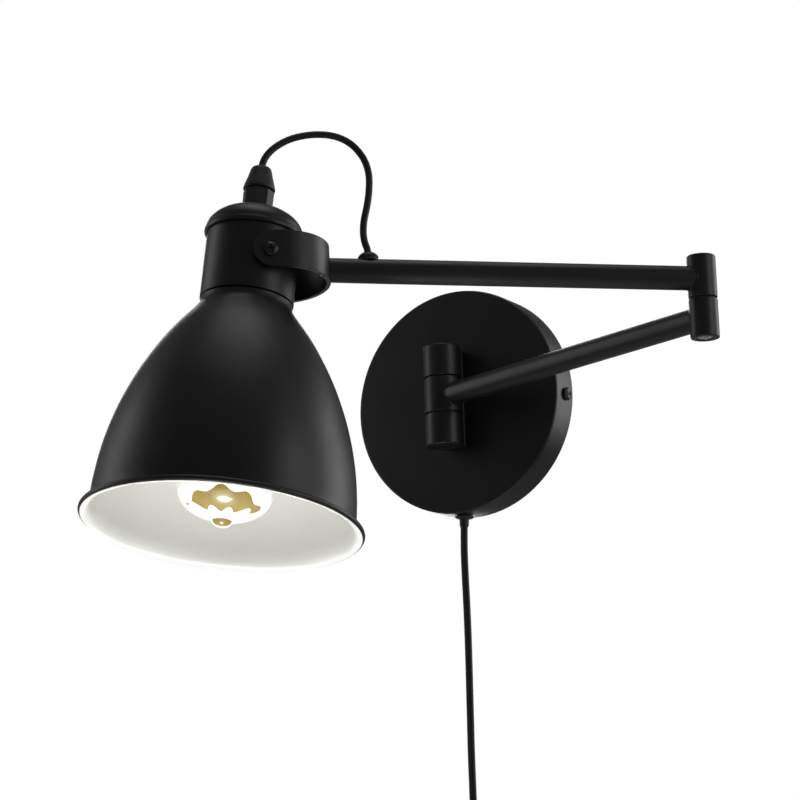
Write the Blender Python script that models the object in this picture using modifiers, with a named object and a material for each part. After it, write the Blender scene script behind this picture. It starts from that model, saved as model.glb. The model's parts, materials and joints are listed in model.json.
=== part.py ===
"""Swing arm wall sconce: a round canopy, a two-part arm on vertical pivots, a tilting bell shade and a cord.

The wall is the plane Y = 0 and the lamp stands out of it towards -Y. X is to the right, Z is up.
The origin is the centre of the mounting bar's wall face. Every size is in metres.
"""

import math

import bmesh
import bpy
from mathutils import Matrix, Vector

# ---------------------------------------------------------------- driving dimensions
FIT = 0.0003  # gap between pieces that touch

CANOPY_RADIUS = 0.075
CANOPY_DEPTH = 0.0231
CANOPY_WALL = 0.0012
CANOPY_EDGE = 0.0018  # rounding between the face and the rim
CANOPY_TURN = math.radians(-2.7)  # the canopy and its bar sit a little turned on the wall

BAR_THICKNESS = 0.002
BAR_WIDTH = 0.018
TAB_DEPTH = 0.016
SIDE_SCREW_DEPTH = 0.0100  # distance of the canopy's side screws from the wall
SCREW_SHANK = 0.0019
SCREW_HEAD = 0.0044
SCREW_HEAD_HEIGHT = 0.0026
BRACKET_SCREW_HEAD = 0.0040
BRACKET_SCREW_LENGTH = 0.0125
SLOT_OFFSET = 0.030
SLOT_LENGTH = 0.014
SLOT_WIDTH = 0.005

BUSH_DEPTH = 0.0115  # distance of the cord's bush from the wall
BUSH_RADIUS = 0.0060
BUSH_NECK = 0.0046
BUSH_OUTSIDE = 0.0062
BUSH_INSIDE = 0.0140

PIVOT_STANDOFF = 0.0405  # wall to the first pivot's axis
KNUCKLE_RADIUS = 0.01225
KNUCKLE_HEIGHT = 0.0228  # middle knuckle, on the inner arm
FORK_KNUCKLE_HEIGHT = 0.0210  # the knuckles above and below it, on the fork
KNUCKLE_SEAM = 0.0012
KNUCKLE_CHAMFER = 0.0009
FORK_YOKE_WIDTH = 0.0180
FORK_YOKE_THICKNESS = 0.0032
FORK_LEVEL = KNUCKLE_HEIGHT / 2 + KNUCKLE_SEAM + FORK_KNUCKLE_HEIGHT / 2
BACKPLATE_THICKNESS = 0.0020
PIVOT_RADIUS = 0.0040
PIVOT_BORE = 0.0026
PIVOT_CAP_RADIUS = 0.0072
PIVOT_CAP_HEIGHT = 0.0016
WASHER_RADIUS = 0.0108
WASHER_THICKNESS = 0.0006

INNER_ARM_LENGTH = 0.2440  # first pivot to elbow pivot
INNER_ARM_SWING = math.radians(20.57)  # angle of the inner arm out from the wall
TUBE_RADIUS = 0.0073
TUBE_WALL = 0.0015
LEAD_IN_TUBE_RADIUS = 0.0021

ELBOW_RADIUS = 0.00876
ELBOW_LOWER_BOTTOM = -0.0127
ELBOW_LOWER_HEIGHT = 0.0236
ELBOW_UPPER_HEIGHT = 0.0261
ELBOW_SEAM = 0.0010
ELBOW_CHAMFER = 0.0006
ELBOW_PIN_RADIUS = 0.0030
ELBOW_ANGLE = math.radians(62.87)  # angle between the two arms

ARM_RISE = 0.0240  # outer arm above the inner arm
HEAD_DISTANCE = 0.2720  # elbow pivot to the head's own axis
GROMMET_DISTANCE = 0.2023  # elbow pivot to the lead's grommet
GROMMET_RADIUS = 0.0062
GROMMET_HEIGHT = 0.0040

BRACKET_WIDTH = 0.0200
BRACKET_THICKNESS = 0.0025
BRACKET_ROLL = math.radians(6.1)  # the bracket is fixed slightly turned round the arm
BRACKET_BASE = 0.0463  # head axis to the outside of the bracket's base
TRUNNION_OFFSET = 0.0070  # tilt axis, from the head's axis towards the arm
TRUNNION_RISE = 0.0010  # tilt axis above the neck's middle
HEAD_TILT = math.radians(8.2)  # the mouth leans away from the elbow
EAR_CLEARANCE = 0.0013
TRUNNION_SHANK = 0.0022
TRUNNION_HEAD = 0.0042
TRUNNION_NUT = 0.0027
TRUNNION_NUT_FACE = 0.0232  # the lamp's axis to the nut's outer face

NECK_RADIUS = 0.0272
NECK_WALL = 0.0012
NECK_TOP = 0.0225
NECK_BOTTOM = -0.0215
CAP_RIM = 0.0191
CAP_BEAD_TOP = 0.0219
CAP_OVERHANG = 0.0012  # the cap stands this far out past the neck
CAP_RADIUS = NECK_RADIUS + CAP_OVERHANG
CAP_TOP = 0.0376
CAP_WALL = 0.0009
GRIP_RADIUS = 0.0095
GRIP_TOP_RADIUS = 0.0058
GRIP_SEAM = 0.0488
GRIP_TOP = 0.0640
NIPPLE_RADIUS = 0.0049
NIPPLE_BORE = 0.0034

HOLDER_RADIUS = 0.0190
HOLDER_TOP = 0.0120
HOLDER_FLANGE = 0.0225
HOLDER_FLANGE_HEIGHT = 0.0018
HOLDER_MOUTH = -0.0600
HOLDER_FLOOR = -0.0330
HOLDER_BORE = 0.0136

SHADE_SEAT = -0.0222  # underside of the neck's seam, where the shade begins
SHADE_WALL = 0.0010
SHADE_COLLAR_RADIUS = 0.0268
SHADE_HOLE = 0.0198
SHADE_RING_RADIUS = 0.0255
SHADE_RING_HEIGHT = 0.0080
SHADE_RIM_RADIUS = 0.0808
SHADE_RIM_PLANE = -0.1576
SHADE_BEAD = 0.0018

BULB_CAP_RADIUS = 0.0130
BULB_RADIUS = 0.0270
BULB_WIDEST = -0.1380
BULB_BOTTOM = -0.1532
BULB_TIP_RADIUS = 0.0062
BULB_TIP_DROP = 0.0044
BULB_WALL = 0.0008

LEAD_DIAMETER = 0.0042
CORD_DIAMETER = 0.0050
COIL_RADIUS = 0.0280  # middle of the turns
COIL_BUNDLE = 0.0094  # half the thickness of the bundle of turns
COIL_TIE_ROOM = 0.0009
COIL_TIE_ANGLE = math.radians(28)  # left of the coil's top, past where the cord joins it
COIL_LEAD_IN = 0.0040
COIL_ENTRY_BEND = 0.0200
TAIL_LENGTH = 0.0140
SWITCH_LENGTH = 0.0520
SWITCH_WIDTH = 0.0260
SWITCH_THICKNESS = 0.0160
ROCKER_LENGTH = 0.0180
ROCKER_WIDTH = 0.0100
ROCKER_DEPTH = 0.0046
ROCKER_POCKET = 0.0060
ROCKER_SINK = 0.0016  # its axis, behind the switch's face
ROCKER_REST = math.radians(7)
PLUG_LENGTH = 0.0350
PLUG_WIDTH = 0.0350
PLUG_THICKNESS = 0.0140
PLUG_PIN_RADIUS = 0.0020
PLUG_PIN_LENGTH = 0.0190
PLUG_PIN_SPACING = 0.0186

# The lead from the outer arm to the cord grip, as (along the arm from the elbow, up from the arm's axis).
LEAD_ROUTE = (
    (0.2023, 0.0119), (0.2025, 0.0138), (0.2034, 0.0165), (0.2042, 0.0205), (0.2043, 0.0260),
    (0.2034, 0.0325), (0.2018, 0.0390), (0.2004, 0.0455), (0.1995, 0.0520), (0.1991, 0.0585),
    (0.1997, 0.0647), (0.2017, 0.0710), (0.2052, 0.0765), (0.2095, 0.0808), (0.2150, 0.0839),
    (0.2209, 0.0855), (0.2270, 0.0859), (0.2330, 0.0855), (0.2391, 0.0843), (0.2450, 0.0824),
    (0.2508, 0.0794), (0.2562, 0.0753), (0.2599, 0.0710), (0.2619, 0.0672), (0.2627, 0.0645),
)

# The power cord's hanging stretch, as (X, Y, Z) from the bush to the switch.
CORD_ROUTE = (
    (-0.0039, -0.0115, -0.0818), (-0.0043, -0.0115, -0.0900), (-0.0046, -0.0115, -0.1000),
    (-0.0046, -0.0114, -0.1150), (-0.0044, -0.0113, -0.1300), (-0.0043, -0.0112, -0.1500),
    (-0.0044, -0.0112, -0.1700), (-0.0046, -0.0113, -0.1900), (-0.0048, -0.0114, -0.2100),
    (-0.0050, -0.0115, -0.2300), (-0.0050, -0.0115, -0.2500), (-0.0050, -0.0115, -0.2690),
)

BLACK_PAINT = ("satin_black", (0.018, 0.018, 0.019), 0.42, 0.0)
BLACK_PLASTIC = ("black_plastic", (0.022, 0.022, 0.023), 0.5, 0.0)
STEEL = ("plated_steel", (0.62, 0.62, 0.60), 0.35, 1.0)
BRASS = ("brass", (0.72, 0.55, 0.28), 0.35, 1.0)
HOLDER_PLASTIC = ("holder_plastic", (0.05, 0.05, 0.05), 0.4, 0.0)
GLASS = ("bulb_glass", (0.85, 0.66, 0.30), 0.1, 0.0)
CORD_SHEATH = ("cord_sheath", (0.020, 0.020, 0.021), 0.55, 0.0)


# ---------------------------------------------------------------- scene and materials
def clear_scene():
    for obj in list(bpy.data.objects):
        bpy.data.objects.remove(obj, do_unlink=True)


def new_collection(name):
    collection = bpy.data.collections.new(name)
    bpy.context.scene.collection.children.link(collection)
    return collection


def material(recipe):
    name, colour, roughness, metallic = recipe
    found = bpy.data.materials.get(name)
    if found:
        return found
    made = bpy.data.materials.new(name)
    made.use_nodes = True
    shader = made.node_tree.nodes["Principled BSDF"]
    shader.inputs["Base Color"].default_value = (*colour, 1.0)
    shader.inputs["Roughness"].default_value = roughness
    shader.inputs["Metallic"].default_value = metallic
    return made


clear_scene()
SCONCE = new_collection("swing_arm_wall_sconce")
CUTTERS = new_collection("cutters")


def adopt(obj, name, finish, parent, place, turn, smooth=True):
    """Names a piece, gives it its finish, hangs it on its parent and puts it in the sconce's collection."""
    obj.name = name
    obj.data.name = name
    for collection in list(obj.users_collection):
        collection.objects.unlink(obj)
    (SCONCE if finish else CUTTERS).objects.link(obj)
    if finish:
        obj.data.materials.append(material(finish))
    else:
        obj.hide_render = True
        obj.display_type = "WIRE"
    obj.parent = parent
    obj.location = place
    obj.rotation_euler = turn
    if smooth and obj.type == "MESH":
        obj.data.shade_smooth()
        obj.data.set_sharp_from_angle(angle=math.radians(35))
    return obj


def empty(name, parent, place, turn=(0.0, 0.0, 0.0)):
    obj = bpy.data.objects.new(name, None)
    SCONCE.objects.link(obj)
    obj.empty_display_size = 0.01
    obj.parent = parent
    obj.location = place
    obj.rotation_euler = turn
    return obj


# ---------------------------------------------------------------- shape helpers
def turned(name, profile, finish, parent, place=(0, 0, 0), turn=(0, 0, 0), segments=32, ring=False):
    """A turned piece: profile points are (radius, height), down the outside; a ring's profile is closed."""
    mesh = bpy.data.meshes.new(name)
    count = len(profile)
    edges = [(i, i + 1) for i in range(count - 1)]
    if ring:
        edges.append((count - 1, 0))
    mesh.from_pydata([(radius, 0.0, height) for radius, height in profile], edges, [])
    obj = bpy.data.objects.new(name, mesh)
    SCONCE.objects.link(obj)
    screw = obj.modifiers.new("turn", "SCREW")
    screw.axis = "Z"
    screw.angle = math.tau
    screw.steps = segments
    screw.render_steps = segments
    screw.use_merge_vertices = True
    screw.merge_threshold = 0.00001
    screw.use_smooth_shade = True
    return adopt(obj, name, finish, parent, place, turn, smooth=False)


def rod(name, radius, bottom, top, finish, parent, place=(0, 0, 0), turn=(0, 0, 0), segments=24,
        chamfer=0.0):
    """A solid round bar along its own Z, from bottom to top."""
    bpy.ops.mesh.primitive_cylinder_add(vertices=segments, radius=radius, depth=top - bottom)
    obj = bpy.context.object
    obj.data.transform(Matrix.Translation((0, 0, (top + bottom) / 2)))
    adopt(obj, name, finish, parent, place, turn)
    if chamfer:
        add_bevel(obj, chamfer, 1)
    return obj


def sleeve(name, outer, inner, bottom, top, finish, parent, place=(0, 0, 0), turn=(0, 0, 0), segments=24,
           chamfer=0.0):
    """A round tube along its own Z, with its outer edges chamfered."""
    profile = [(inner, top), (outer - chamfer, top), (outer, top - chamfer)]
    profile += [(outer, bottom + chamfer), (outer - chamfer, bottom), (inner, bottom)]
    if not chamfer:
        profile = [(inner, top), (outer, top), (outer, bottom), (inner, bottom)]
    return turned(name, profile, finish, parent, place, turn, segments, ring=True)


def block(name, size, centre, finish, parent, turn=(0, 0, 0), bevel=0.0, bevel_steps=1):
    bpy.ops.mesh.primitive_cube_add(size=1.0)
    obj = bpy.context.object
    obj.data.transform(Matrix.Diagonal((*size, 1.0)))
    adopt(obj, name, finish, parent, centre, turn, smooth=False)
    if bevel:
        add_bevel(obj, bevel, bevel_steps)
    return obj


def add_bevel(obj, width, steps):
    bevel = obj.modifiers.new("bevel", "BEVEL")
    bevel.width = width
    bevel.segments = steps
    bevel.limit_method = "ANGLE"
    bevel.angle_limit = math.radians(40)
    return bevel


def boolean(target, tool, operation):
    modifier = target.modifiers.new(operation.lower(), "BOOLEAN")
    modifier.operation = operation
    modifier.solver = "EXACT"
    modifier.object = tool
    return modifier


def cut(target, *tools):
    for tool in tools:
        boolean(target, tool, "DIFFERENCE")


def join(target, *tools):
    for tool in tools:
        boolean(target, tool, "UNION")


def arc(centre_radius, centre_height, size, start, end, steps):
    """Points of a rounding, as (radius, height), from one angle to another in degrees."""
    points = []
    for i in range(steps + 1):
        angle = math.radians(start + (end - start) * i / steps)
        points.append((centre_radius + size * math.cos(angle), centre_height + size * math.sin(angle)))
    return points


def smooth_route(points, spacing):
    """A Catmull-Rom curve through the points, read at even steps of about the spacing."""
    nodes = [Vector(p) for p in points]
    nodes = [2 * nodes[0] - nodes[1]] + nodes + [2 * nodes[-1] - nodes[-2]]
    fine = []
    for i in range(1, len(nodes) - 2):
        before, start, end, after = nodes[i - 1 : i + 3]
        for k in range(16):
            t = k / 16
            fine.append(
                0.5
                * (
                    2 * start
                    + (end - before) * t
                    + (2 * before - 5 * start + 4 * end - after) * t * t
                    + (3 * start - before - 3 * end + after) * t * t * t
                )
            )
    fine.append(nodes[-2])
    lengths = [0.0]
    for a, b in zip(fine, fine[1:]):
        lengths.append(lengths[-1] + (b - a).length)
    count = max(2, round(lengths[-1] / spacing))
    even = []
    j = 0
    for k in range(count + 1):
        wanted = lengths[-1] * k / count
        while j < len(fine) - 2 and lengths[j + 1] < wanted:
            j += 1
        share = (wanted - lengths[j]) / (lengths[j + 1] - lengths[j])
        even.append(fine[j].lerp(fine[j + 1], min(max(share, 0.0), 1.0)))
    return even


def cord(name, points, diameter, finish, parent, resolution=2):
    curve = bpy.data.curves.new(name, "CURVE")
    curve.dimensions = "3D"
    curve.bevel_depth = diameter / 2
    curve.bevel_resolution = resolution
    curve.use_fill_caps = True
    spline = curve.splines.new("POLY")
    spline.points.add(len(points) - 1)
    for slot, point in zip(spline.points, points):
        slot.co = (*point, 1.0)
    obj = bpy.data.objects.new(name, curve)
    SCONCE.objects.link(obj)
    return adopt(obj, name, finish, parent, (0, 0, 0), (0, 0, 0), smooth=False)


ALONG_X = (0.0, math.pi / 2, 0.0)  # turns a piece's own Z to +X
ALONG_Y = (-math.pi / 2, 0.0, 0.0)  # turns a piece's own Z to +Y
ALONG_MINUS_Y = (math.pi / 2, 0.0, 0.0)


def pan_head_screw(name, head_radius, head_height, shank_radius, shank_length, parent, place, turn,
                   finish=STEEL):
    """A pan-head screw whose head stands on Z = 0 and whose shank runs down -Z, with a crossed recess."""
    edge = 0.35 * head_height
    profile = [(0.0, head_height), (head_radius * 0.62, head_height)]
    profile += arc(head_radius - edge * 1.2, head_height - edge * 1.2, edge * 1.2, 60, 0, 2)
    profile += [(head_radius, 0.0), (shank_radius, 0.0), (shank_radius, -shank_length), (0.0, -shank_length)]
    screw = turned(name, profile, finish, parent, place, turn, segments=20)
    slot = (head_radius * 1.05, head_radius * 0.26, head_height)
    for i, angle in enumerate((0.0, math.pi / 2)):
        bar = block(f"{name}_slot_{i}", slot, (0, 0, 0), None, parent)
        raised = screw.matrix_local @ Matrix.Translation((0, 0, head_height))
        bar.matrix_local = raised @ Matrix.Rotation(angle, 4, "Z")
        bar.parent = parent
        cut(screw, bar)
    return screw


# ---------------------------------------------------------------- wall unit
def build_mounting_bar(turntable):
    """A flat bar against the wall with two tabs bent forward, which take the canopy's side screws."""
    reach = math.sqrt((CANOPY_RADIUS - CANOPY_WALL - FIT) ** 2 - (BAR_WIDTH / 2) ** 2) - FIT
    strip = bpy.data.meshes.new("mounting_bar")
    corners = ((-reach, -TAB_DEPTH), (-reach, 0.0), (reach, 0.0), (reach, -TAB_DEPTH))
    points = [(x, y, z) for x, y in corners for z in (-BAR_WIDTH / 2, BAR_WIDTH / 2)]
    faces = [(2 * i, 2 * i + 1, 2 * i + 3, 2 * i + 2) for i in range(len(corners) - 1)]
    strip.from_pydata(points, [], faces)
    bar = bpy.data.objects.new("mounting_bar", strip)
    SCONCE.objects.link(bar)
    adopt(bar, "mounting_bar", STEEL, turntable, (0, 0, 0), (0, 0, 0), smooth=False)
    shell = bar.modifiers.new("sheet", "SOLIDIFY")
    shell.thickness = BAR_THICKNESS
    shell.offset = -1.0
    shell.use_even_offset = True
    for side in (-1, 1):
        slot = block(f"bar_slot_{side}", (SLOT_LENGTH, 0.01, SLOT_WIDTH), (side * SLOT_OFFSET, 0, 0), None,
                     turntable)
        hole = rod(f"tab_hole_{side}", SCREW_SHANK + FIT, -0.01, 0.01, None, turntable,
                   (side * reach, -SIDE_SCREW_DEPTH, 0), ALONG_X, 16)
        cut(bar, slot, hole)
    return bar


def build_canopy(turntable):
    outer, inner = CANOPY_RADIUS, CANOPY_RADIUS - CANOPY_WALL
    front, back = CANOPY_DEPTH, FIT
    hole = PIVOT_BORE + 0.001
    profile = [(hole, front)] + arc(outer - CANOPY_EDGE, front - CANOPY_EDGE, CANOPY_EDGE, 90, 0, 4)
    profile += [(outer, back), (inner, back), (inner, front - CANOPY_WALL - 0.0006)]
    profile += [(inner - 0.0006, front - CANOPY_WALL), (hole, front - CANOPY_WALL)]
    canopy = turned("canopy", profile, BLACK_PAINT, turntable, turn=ALONG_MINUS_Y, segments=56, ring=True)
    for side in (-1, 1):
        cut(canopy, rod(f"canopy_screw_hole_{side}", SCREW_SHANK + FIT, -0.006, 0.006, None, turntable,
                        (side * outer, -SIDE_SCREW_DEPTH, 0), ALONG_X, 16))
        height = side * FORK_LEVEL
        cut(canopy, rod(f"canopy_fork_hole_{side}", SCREW_SHANK + FIT, -0.006, 0.006, None, None,
                        (0, -CANOPY_DEPTH, height), ALONG_Y, 16))
    cut(canopy, rod("canopy_bush_hole", BUSH_NECK + FIT, -0.006, 0.006, None, turntable,
                    (0, -BUSH_DEPTH, -outer), (0, 0, 0), 20))
    for side, name in ((1, "canopy_screw_right"), (-1, "canopy_screw_left")):
        turn = (0.0, side * math.pi / 2, 0.0)
        pan_head_screw(name, SCREW_HEAD, SCREW_HEAD_HEIGHT, SCREW_SHANK, 0.007, turntable,
                       (side * (outer + FIT), -SIDE_SCREW_DEPTH, 0), turn)
    return canopy


def build_bush(turntable):
    """The ribbed bush that grips the cord in the canopy's bottom edge."""
    rib, groove = BUSH_RADIUS, BUSH_RADIUS - 0.0009
    tip = CORD_DIAMETER / 2 + 0.0012
    outside = -FIT
    step = BUSH_OUTSIDE / 6
    profile = [(0.0, BUSH_INSIDE), (BUSH_NECK - 0.0008, BUSH_INSIDE), (BUSH_NECK, BUSH_INSIDE - 0.001)]
    profile += [(BUSH_NECK, outside), (rib, outside), (rib, outside - step), (groove, outside - 1.3 * step)]
    profile += [(groove, outside - 2.2 * step), (rib - 0.0008, outside - 2.5 * step)]
    profile += [(rib - 0.0012, outside - 3.5 * step), (groove - 0.0012, outside - 3.8 * step)]
    profile += [(tip, outside - 6 * step), (0.0, outside - 6 * step)]
    return turned("cord_bush", profile, BLACK_PLASTIC, turntable, (0, -BUSH_DEPTH, -CANOPY_RADIUS),
                  segments=20)


def build_fork():
    """Upper and lower knuckles on one yoke, screwed to the canopy from behind, the arm's knuckle between."""
    half = KNUCKLE_HEIGHT / 2 + KNUCKLE_SEAM
    top = half + FORK_KNUCKLE_HEIGHT
    axis = (0, -PIVOT_STANDOFF, 0)
    back = -CANOPY_DEPTH - FIT
    yoke_front = back - FORK_YOKE_THICKNESS
    fork = block("wall_fork", (FORK_YOKE_WIDTH, FORK_YOKE_THICKNESS, 2 * (top - KNUCKLE_CHAMFER)),
                 (0, (back + yoke_front) / 2, 0), BLACK_PAINT, None)
    for side, name in ((1, "upper"), (-1, "lower")):
        middle = side * FORK_LEVEL
        stub_depth = PIVOT_STANDOFF - CANOPY_DEPTH - FIT - 0.0008
        stub = block(f"fork_stub_{name}", (FORK_YOKE_WIDTH - 0.004, stub_depth, FORK_KNUCKLE_HEIGHT - 0.0012),
                     (0, back - 0.0008 - stub_depth / 2, middle), None, None)
        knuckle = rod(f"fork_knuckle_{name}", KNUCKLE_RADIUS, middle - FORK_KNUCKLE_HEIGHT / 2,
                      middle + FORK_KNUCKLE_HEIGHT / 2, None, None, axis, segments=32, chamfer=KNUCKLE_CHAMFER)
        join(fork, stub, knuckle)
        pocket_radius = PIVOT_CAP_RADIUS + FIT
        cap_pocket = rod(f"fork_pocket_{name}", pocket_radius, -PIVOT_CAP_HEIGHT - FIT, 0.01, None, None,
                         (0, -PIVOT_STANDOFF, side * top), (0.0 if side > 0 else math.pi, 0, 0), 24)
        screw_hole = rod(f"fork_screw_hole_{name}", SCREW_SHANK + FIT, -0.008, 0.008, None, None,
                         (0, back, middle), ALONG_Y, 16)
        cut(fork, cap_pocket, screw_hole)
        cap_place = (0, -PIVOT_STANDOFF, side * (top - PIVOT_CAP_HEIGHT))
        cap_turn = (0.0 if side > 0 else math.pi, 0, 0)
        cap = rod(f"pivot_cap_{name}", PIVOT_CAP_RADIUS, 0.0, PIVOT_CAP_HEIGHT - 0.0002, BLACK_PAINT, None,
                  cap_place, cap_turn, 24, chamfer=0.0003)
        socket = rod(f"pivot_cap_socket_{name}", 0.0025, 0.0006, 0.01, None, None, cap_place, cap_turn, 6)
        cut(cap, socket)
        pan_head_screw(f"fork_screw_{name}", 0.0038, 0.0022, SCREW_SHANK, 0.0085, None,
                       (0, -CANOPY_DEPTH + CANOPY_WALL + BACKPLATE_THICKNESS + 2 * FIT, middle), ALONG_Y)
    cut(fork, rod("fork_bore", PIVOT_RADIUS + FIT, -0.1, 0.1, None, None, axis, segments=24))
    sleeve("wall_pivot_tube", PIVOT_RADIUS, PIVOT_BORE, -top + PIVOT_CAP_HEIGHT + 2 * FIT,
           top - PIVOT_CAP_HEIGHT - 2 * FIT, STEEL, None, axis, segments=20)
    return fork


def build_canopy_inside():
    """The plate that stiffens the canopy behind the fork, and the terminal block."""
    reach = KNUCKLE_HEIGHT / 2 + KNUCKLE_SEAM + FORK_KNUCKLE_HEIGHT
    middle = -CANOPY_DEPTH + CANOPY_WALL + FIT + BACKPLATE_THICKNESS / 2
    plate = block("fork_backplate", (0.030, BACKPLATE_THICKNESS, 2 * reach), (0, middle, 0), STEEL, None)
    for side in (-1, 1):
        height = side * FORK_LEVEL
        cut(plate, rod(f"backplate_hole_{side}", SCREW_SHANK + FIT, -0.006, 0.006, None, None,
                       (0, middle, height), ALONG_Y, 16))
    cut(plate, rod("backplate_wire_hole", 0.004, -0.006, 0.006, None, None, (0, middle, 0), ALONG_Y, 16))
    length, depth, width = 0.026, 0.0110, 0.0150
    place = (0.0340, -CANOPY_DEPTH + CANOPY_WALL + FIT + depth / 2, 0.0250)
    terminal = block("terminal_block", (length, depth, width), place, HOLDER_PLASTIC, None, bevel=0.0012)
    for side in (-1, 1):
        cut(terminal, rod(f"terminal_hole_{side}", 0.0017, -0.02, 0.02, None, None,
                          (place[0] + side * length / 4, place[1], place[2]), (0, 0, 0), 12))
        cut(terminal, rod(f"terminal_screw_hole_{side}", 0.0022, 0.0030, 0.01, None, None,
                          (place[0] + side * length / 4, place[1], place[2]), ALONG_Y, 12))


# ---------------------------------------------------------------- inner arm
def arm_tube(name, parent, start_radius, end_radius, start_x, end_x, level):
    """A tube along +X whose ends are scooped to fit the round knuckles they meet."""
    tube = sleeve(name, TUBE_RADIUS, TUBE_RADIUS - TUBE_WALL, start_x, end_x, BLACK_PAINT, parent,
                  (0, 0, level), ALONG_X, 32)
    tall = 0.08
    cut(tube, rod(f"{name}_scoop_start", start_radius + FIT, -tall, tall, None, parent, (0, 0, level),
                  segments=32))
    if end_radius:
        cut(tube, rod(f"{name}_scoop_end", end_radius + FIT, -tall, tall, None, parent,
                      (end_x, 0, level), segments=32))
    return tube


def build_inner_arm(pivot):
    half = KNUCKLE_HEIGHT / 2
    knuckle = rod("inner_arm_knuckle", KNUCKLE_RADIUS, -half, half, BLACK_PAINT, pivot, segments=32,
                  chamfer=0.0004)
    cut(knuckle, rod("inner_arm_knuckle_bore", PIVOT_RADIUS + FIT, -0.05, 0.05, None, pivot, segments=24))
    for side, name in ((1, "upper"), (-1, "lower")):
        sleeve(f"pivot_washer_{name}", WASHER_RADIUS, PIVOT_RADIUS + FIT,
               side * (half + KNUCKLE_SEAM / 2) - WASHER_THICKNESS / 2,
               side * (half + KNUCKLE_SEAM / 2) + WASHER_THICKNESS / 2, BLACK_PLASTIC, pivot, segments=24)
    arm_tube("inner_arm_tube", pivot, KNUCKLE_RADIUS, ELBOW_RADIUS, 0.0, INNER_ARM_LENGTH, 0.0)
    rod("inner_arm_lead", LEAD_IN_TUBE_RADIUS, KNUCKLE_RADIUS + 0.004,
        INNER_ARM_LENGTH - ELBOW_RADIUS - 0.004,
        CORD_SHEATH, pivot, (0, 0, 0), ALONG_X, 12)
    elbow = (INNER_ARM_LENGTH, 0, 0)
    bottom, top = ELBOW_LOWER_BOTTOM, ELBOW_LOWER_BOTTOM + ELBOW_LOWER_HEIGHT
    lower = rod("elbow_lower_knuckle", ELBOW_RADIUS, bottom, top, BLACK_PAINT, pivot, elbow, segments=32,
                chamfer=ELBOW_CHAMFER)
    cut(lower, rod("elbow_lower_bore", ELBOW_PIN_RADIUS + FIT, -0.05, 0.05, None, pivot, elbow, segments=20))
    head = ELBOW_PIN_RADIUS + 0.0022
    cut(lower, rod("elbow_head_pocket", head + FIT, bottom - 0.01, bottom + 0.0035, None, pivot, elbow,
                   segments=20))
    pin_top = top + ELBOW_SEAM + 0.6 * ELBOW_UPPER_HEIGHT
    profile = [(0.0, pin_top), (ELBOW_PIN_RADIUS, pin_top), (ELBOW_PIN_RADIUS, bottom + 0.0035 - FIT)]
    profile += [(head, bottom + 0.0035 - FIT), (head, bottom + 0.0004), (0.0, bottom + 0.0004)]
    pin = turned("elbow_pivot_screw", profile, STEEL, pivot, elbow, segments=20)
    cut(pin, rod("elbow_screw_socket", 0.0024, bottom - 0.01, bottom + 0.0026, None, pivot, elbow,
                 segments=6))
    sleeve("elbow_washer", ELBOW_RADIUS - 0.0012, ELBOW_PIN_RADIUS + FIT, top + FIT, top + ELBOW_SEAM - FIT,
           BLACK_PLASTIC, pivot, elbow, segments=24)


# ---------------------------------------------------------------- outer arm
def bracket_radius():
    """The outside of the horseshoe bracket's round end."""
    return NECK_RADIUS + EAR_CLEARANCE + BRACKET_THICKNESS


def build_outer_arm(elbow, roll):
    bottom = ELBOW_LOWER_BOTTOM + ELBOW_LOWER_HEIGHT + ELBOW_SEAM
    top = bottom + ELBOW_UPPER_HEIGHT
    upper = rod("elbow_upper_knuckle", ELBOW_RADIUS, bottom, top, BLACK_PAINT, elbow, segments=32,
                chamfer=ELBOW_CHAMFER)
    cut(upper, rod("elbow_upper_bore", ELBOW_PIN_RADIUS + FIT, bottom - 0.01, top - 0.006, None, elbow,
                   segments=20))
    arm_end = HEAD_DISTANCE - BRACKET_BASE + 0.0012
    bend_x = HEAD_DISTANCE - BRACKET_BASE + bracket_radius()
    tube = arm_tube("outer_arm_tube", elbow, ELBOW_RADIUS, None, 0.0, arm_end, ARM_RISE)
    bracket_seat = rod("bracket_seat", bracket_radius() + FIT, -0.03, 0.03, None, roll, (bend_x, 0, 0),
                       segments=64)
    hole = rod("grommet_hole", GROMMET_RADIUS - 0.0020, 0.0, 0.02, None, elbow,
               (GROMMET_DISTANCE, 0, ARM_RISE), (BRACKET_ROLL, 0, 0), 20)
    cut(tube, hole, bracket_seat)
    plug_start = GROMMET_DISTANCE + GROMMET_RADIUS + 0.002
    plug = rod("arm_end_plug", TUBE_RADIUS - TUBE_WALL - FIT, plug_start, arm_end, STEEL, elbow,
               (0, 0, ARM_RISE), ALONG_X, 24)
    cut(plug, rod("arm_end_thread", SCREW_SHANK + FIT, arm_end - 0.012, arm_end + 0.01, None, elbow,
                  (0, 0, ARM_RISE), ALONG_X, 16), bracket_seat)
    rod("outer_arm_lead", LEAD_IN_TUBE_RADIUS, ELBOW_RADIUS + 0.004, GROMMET_DISTANCE - GROMMET_RADIUS,
        CORD_SHEATH, elbow, (0, 0, ARM_RISE), ALONG_X, 12)


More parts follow.
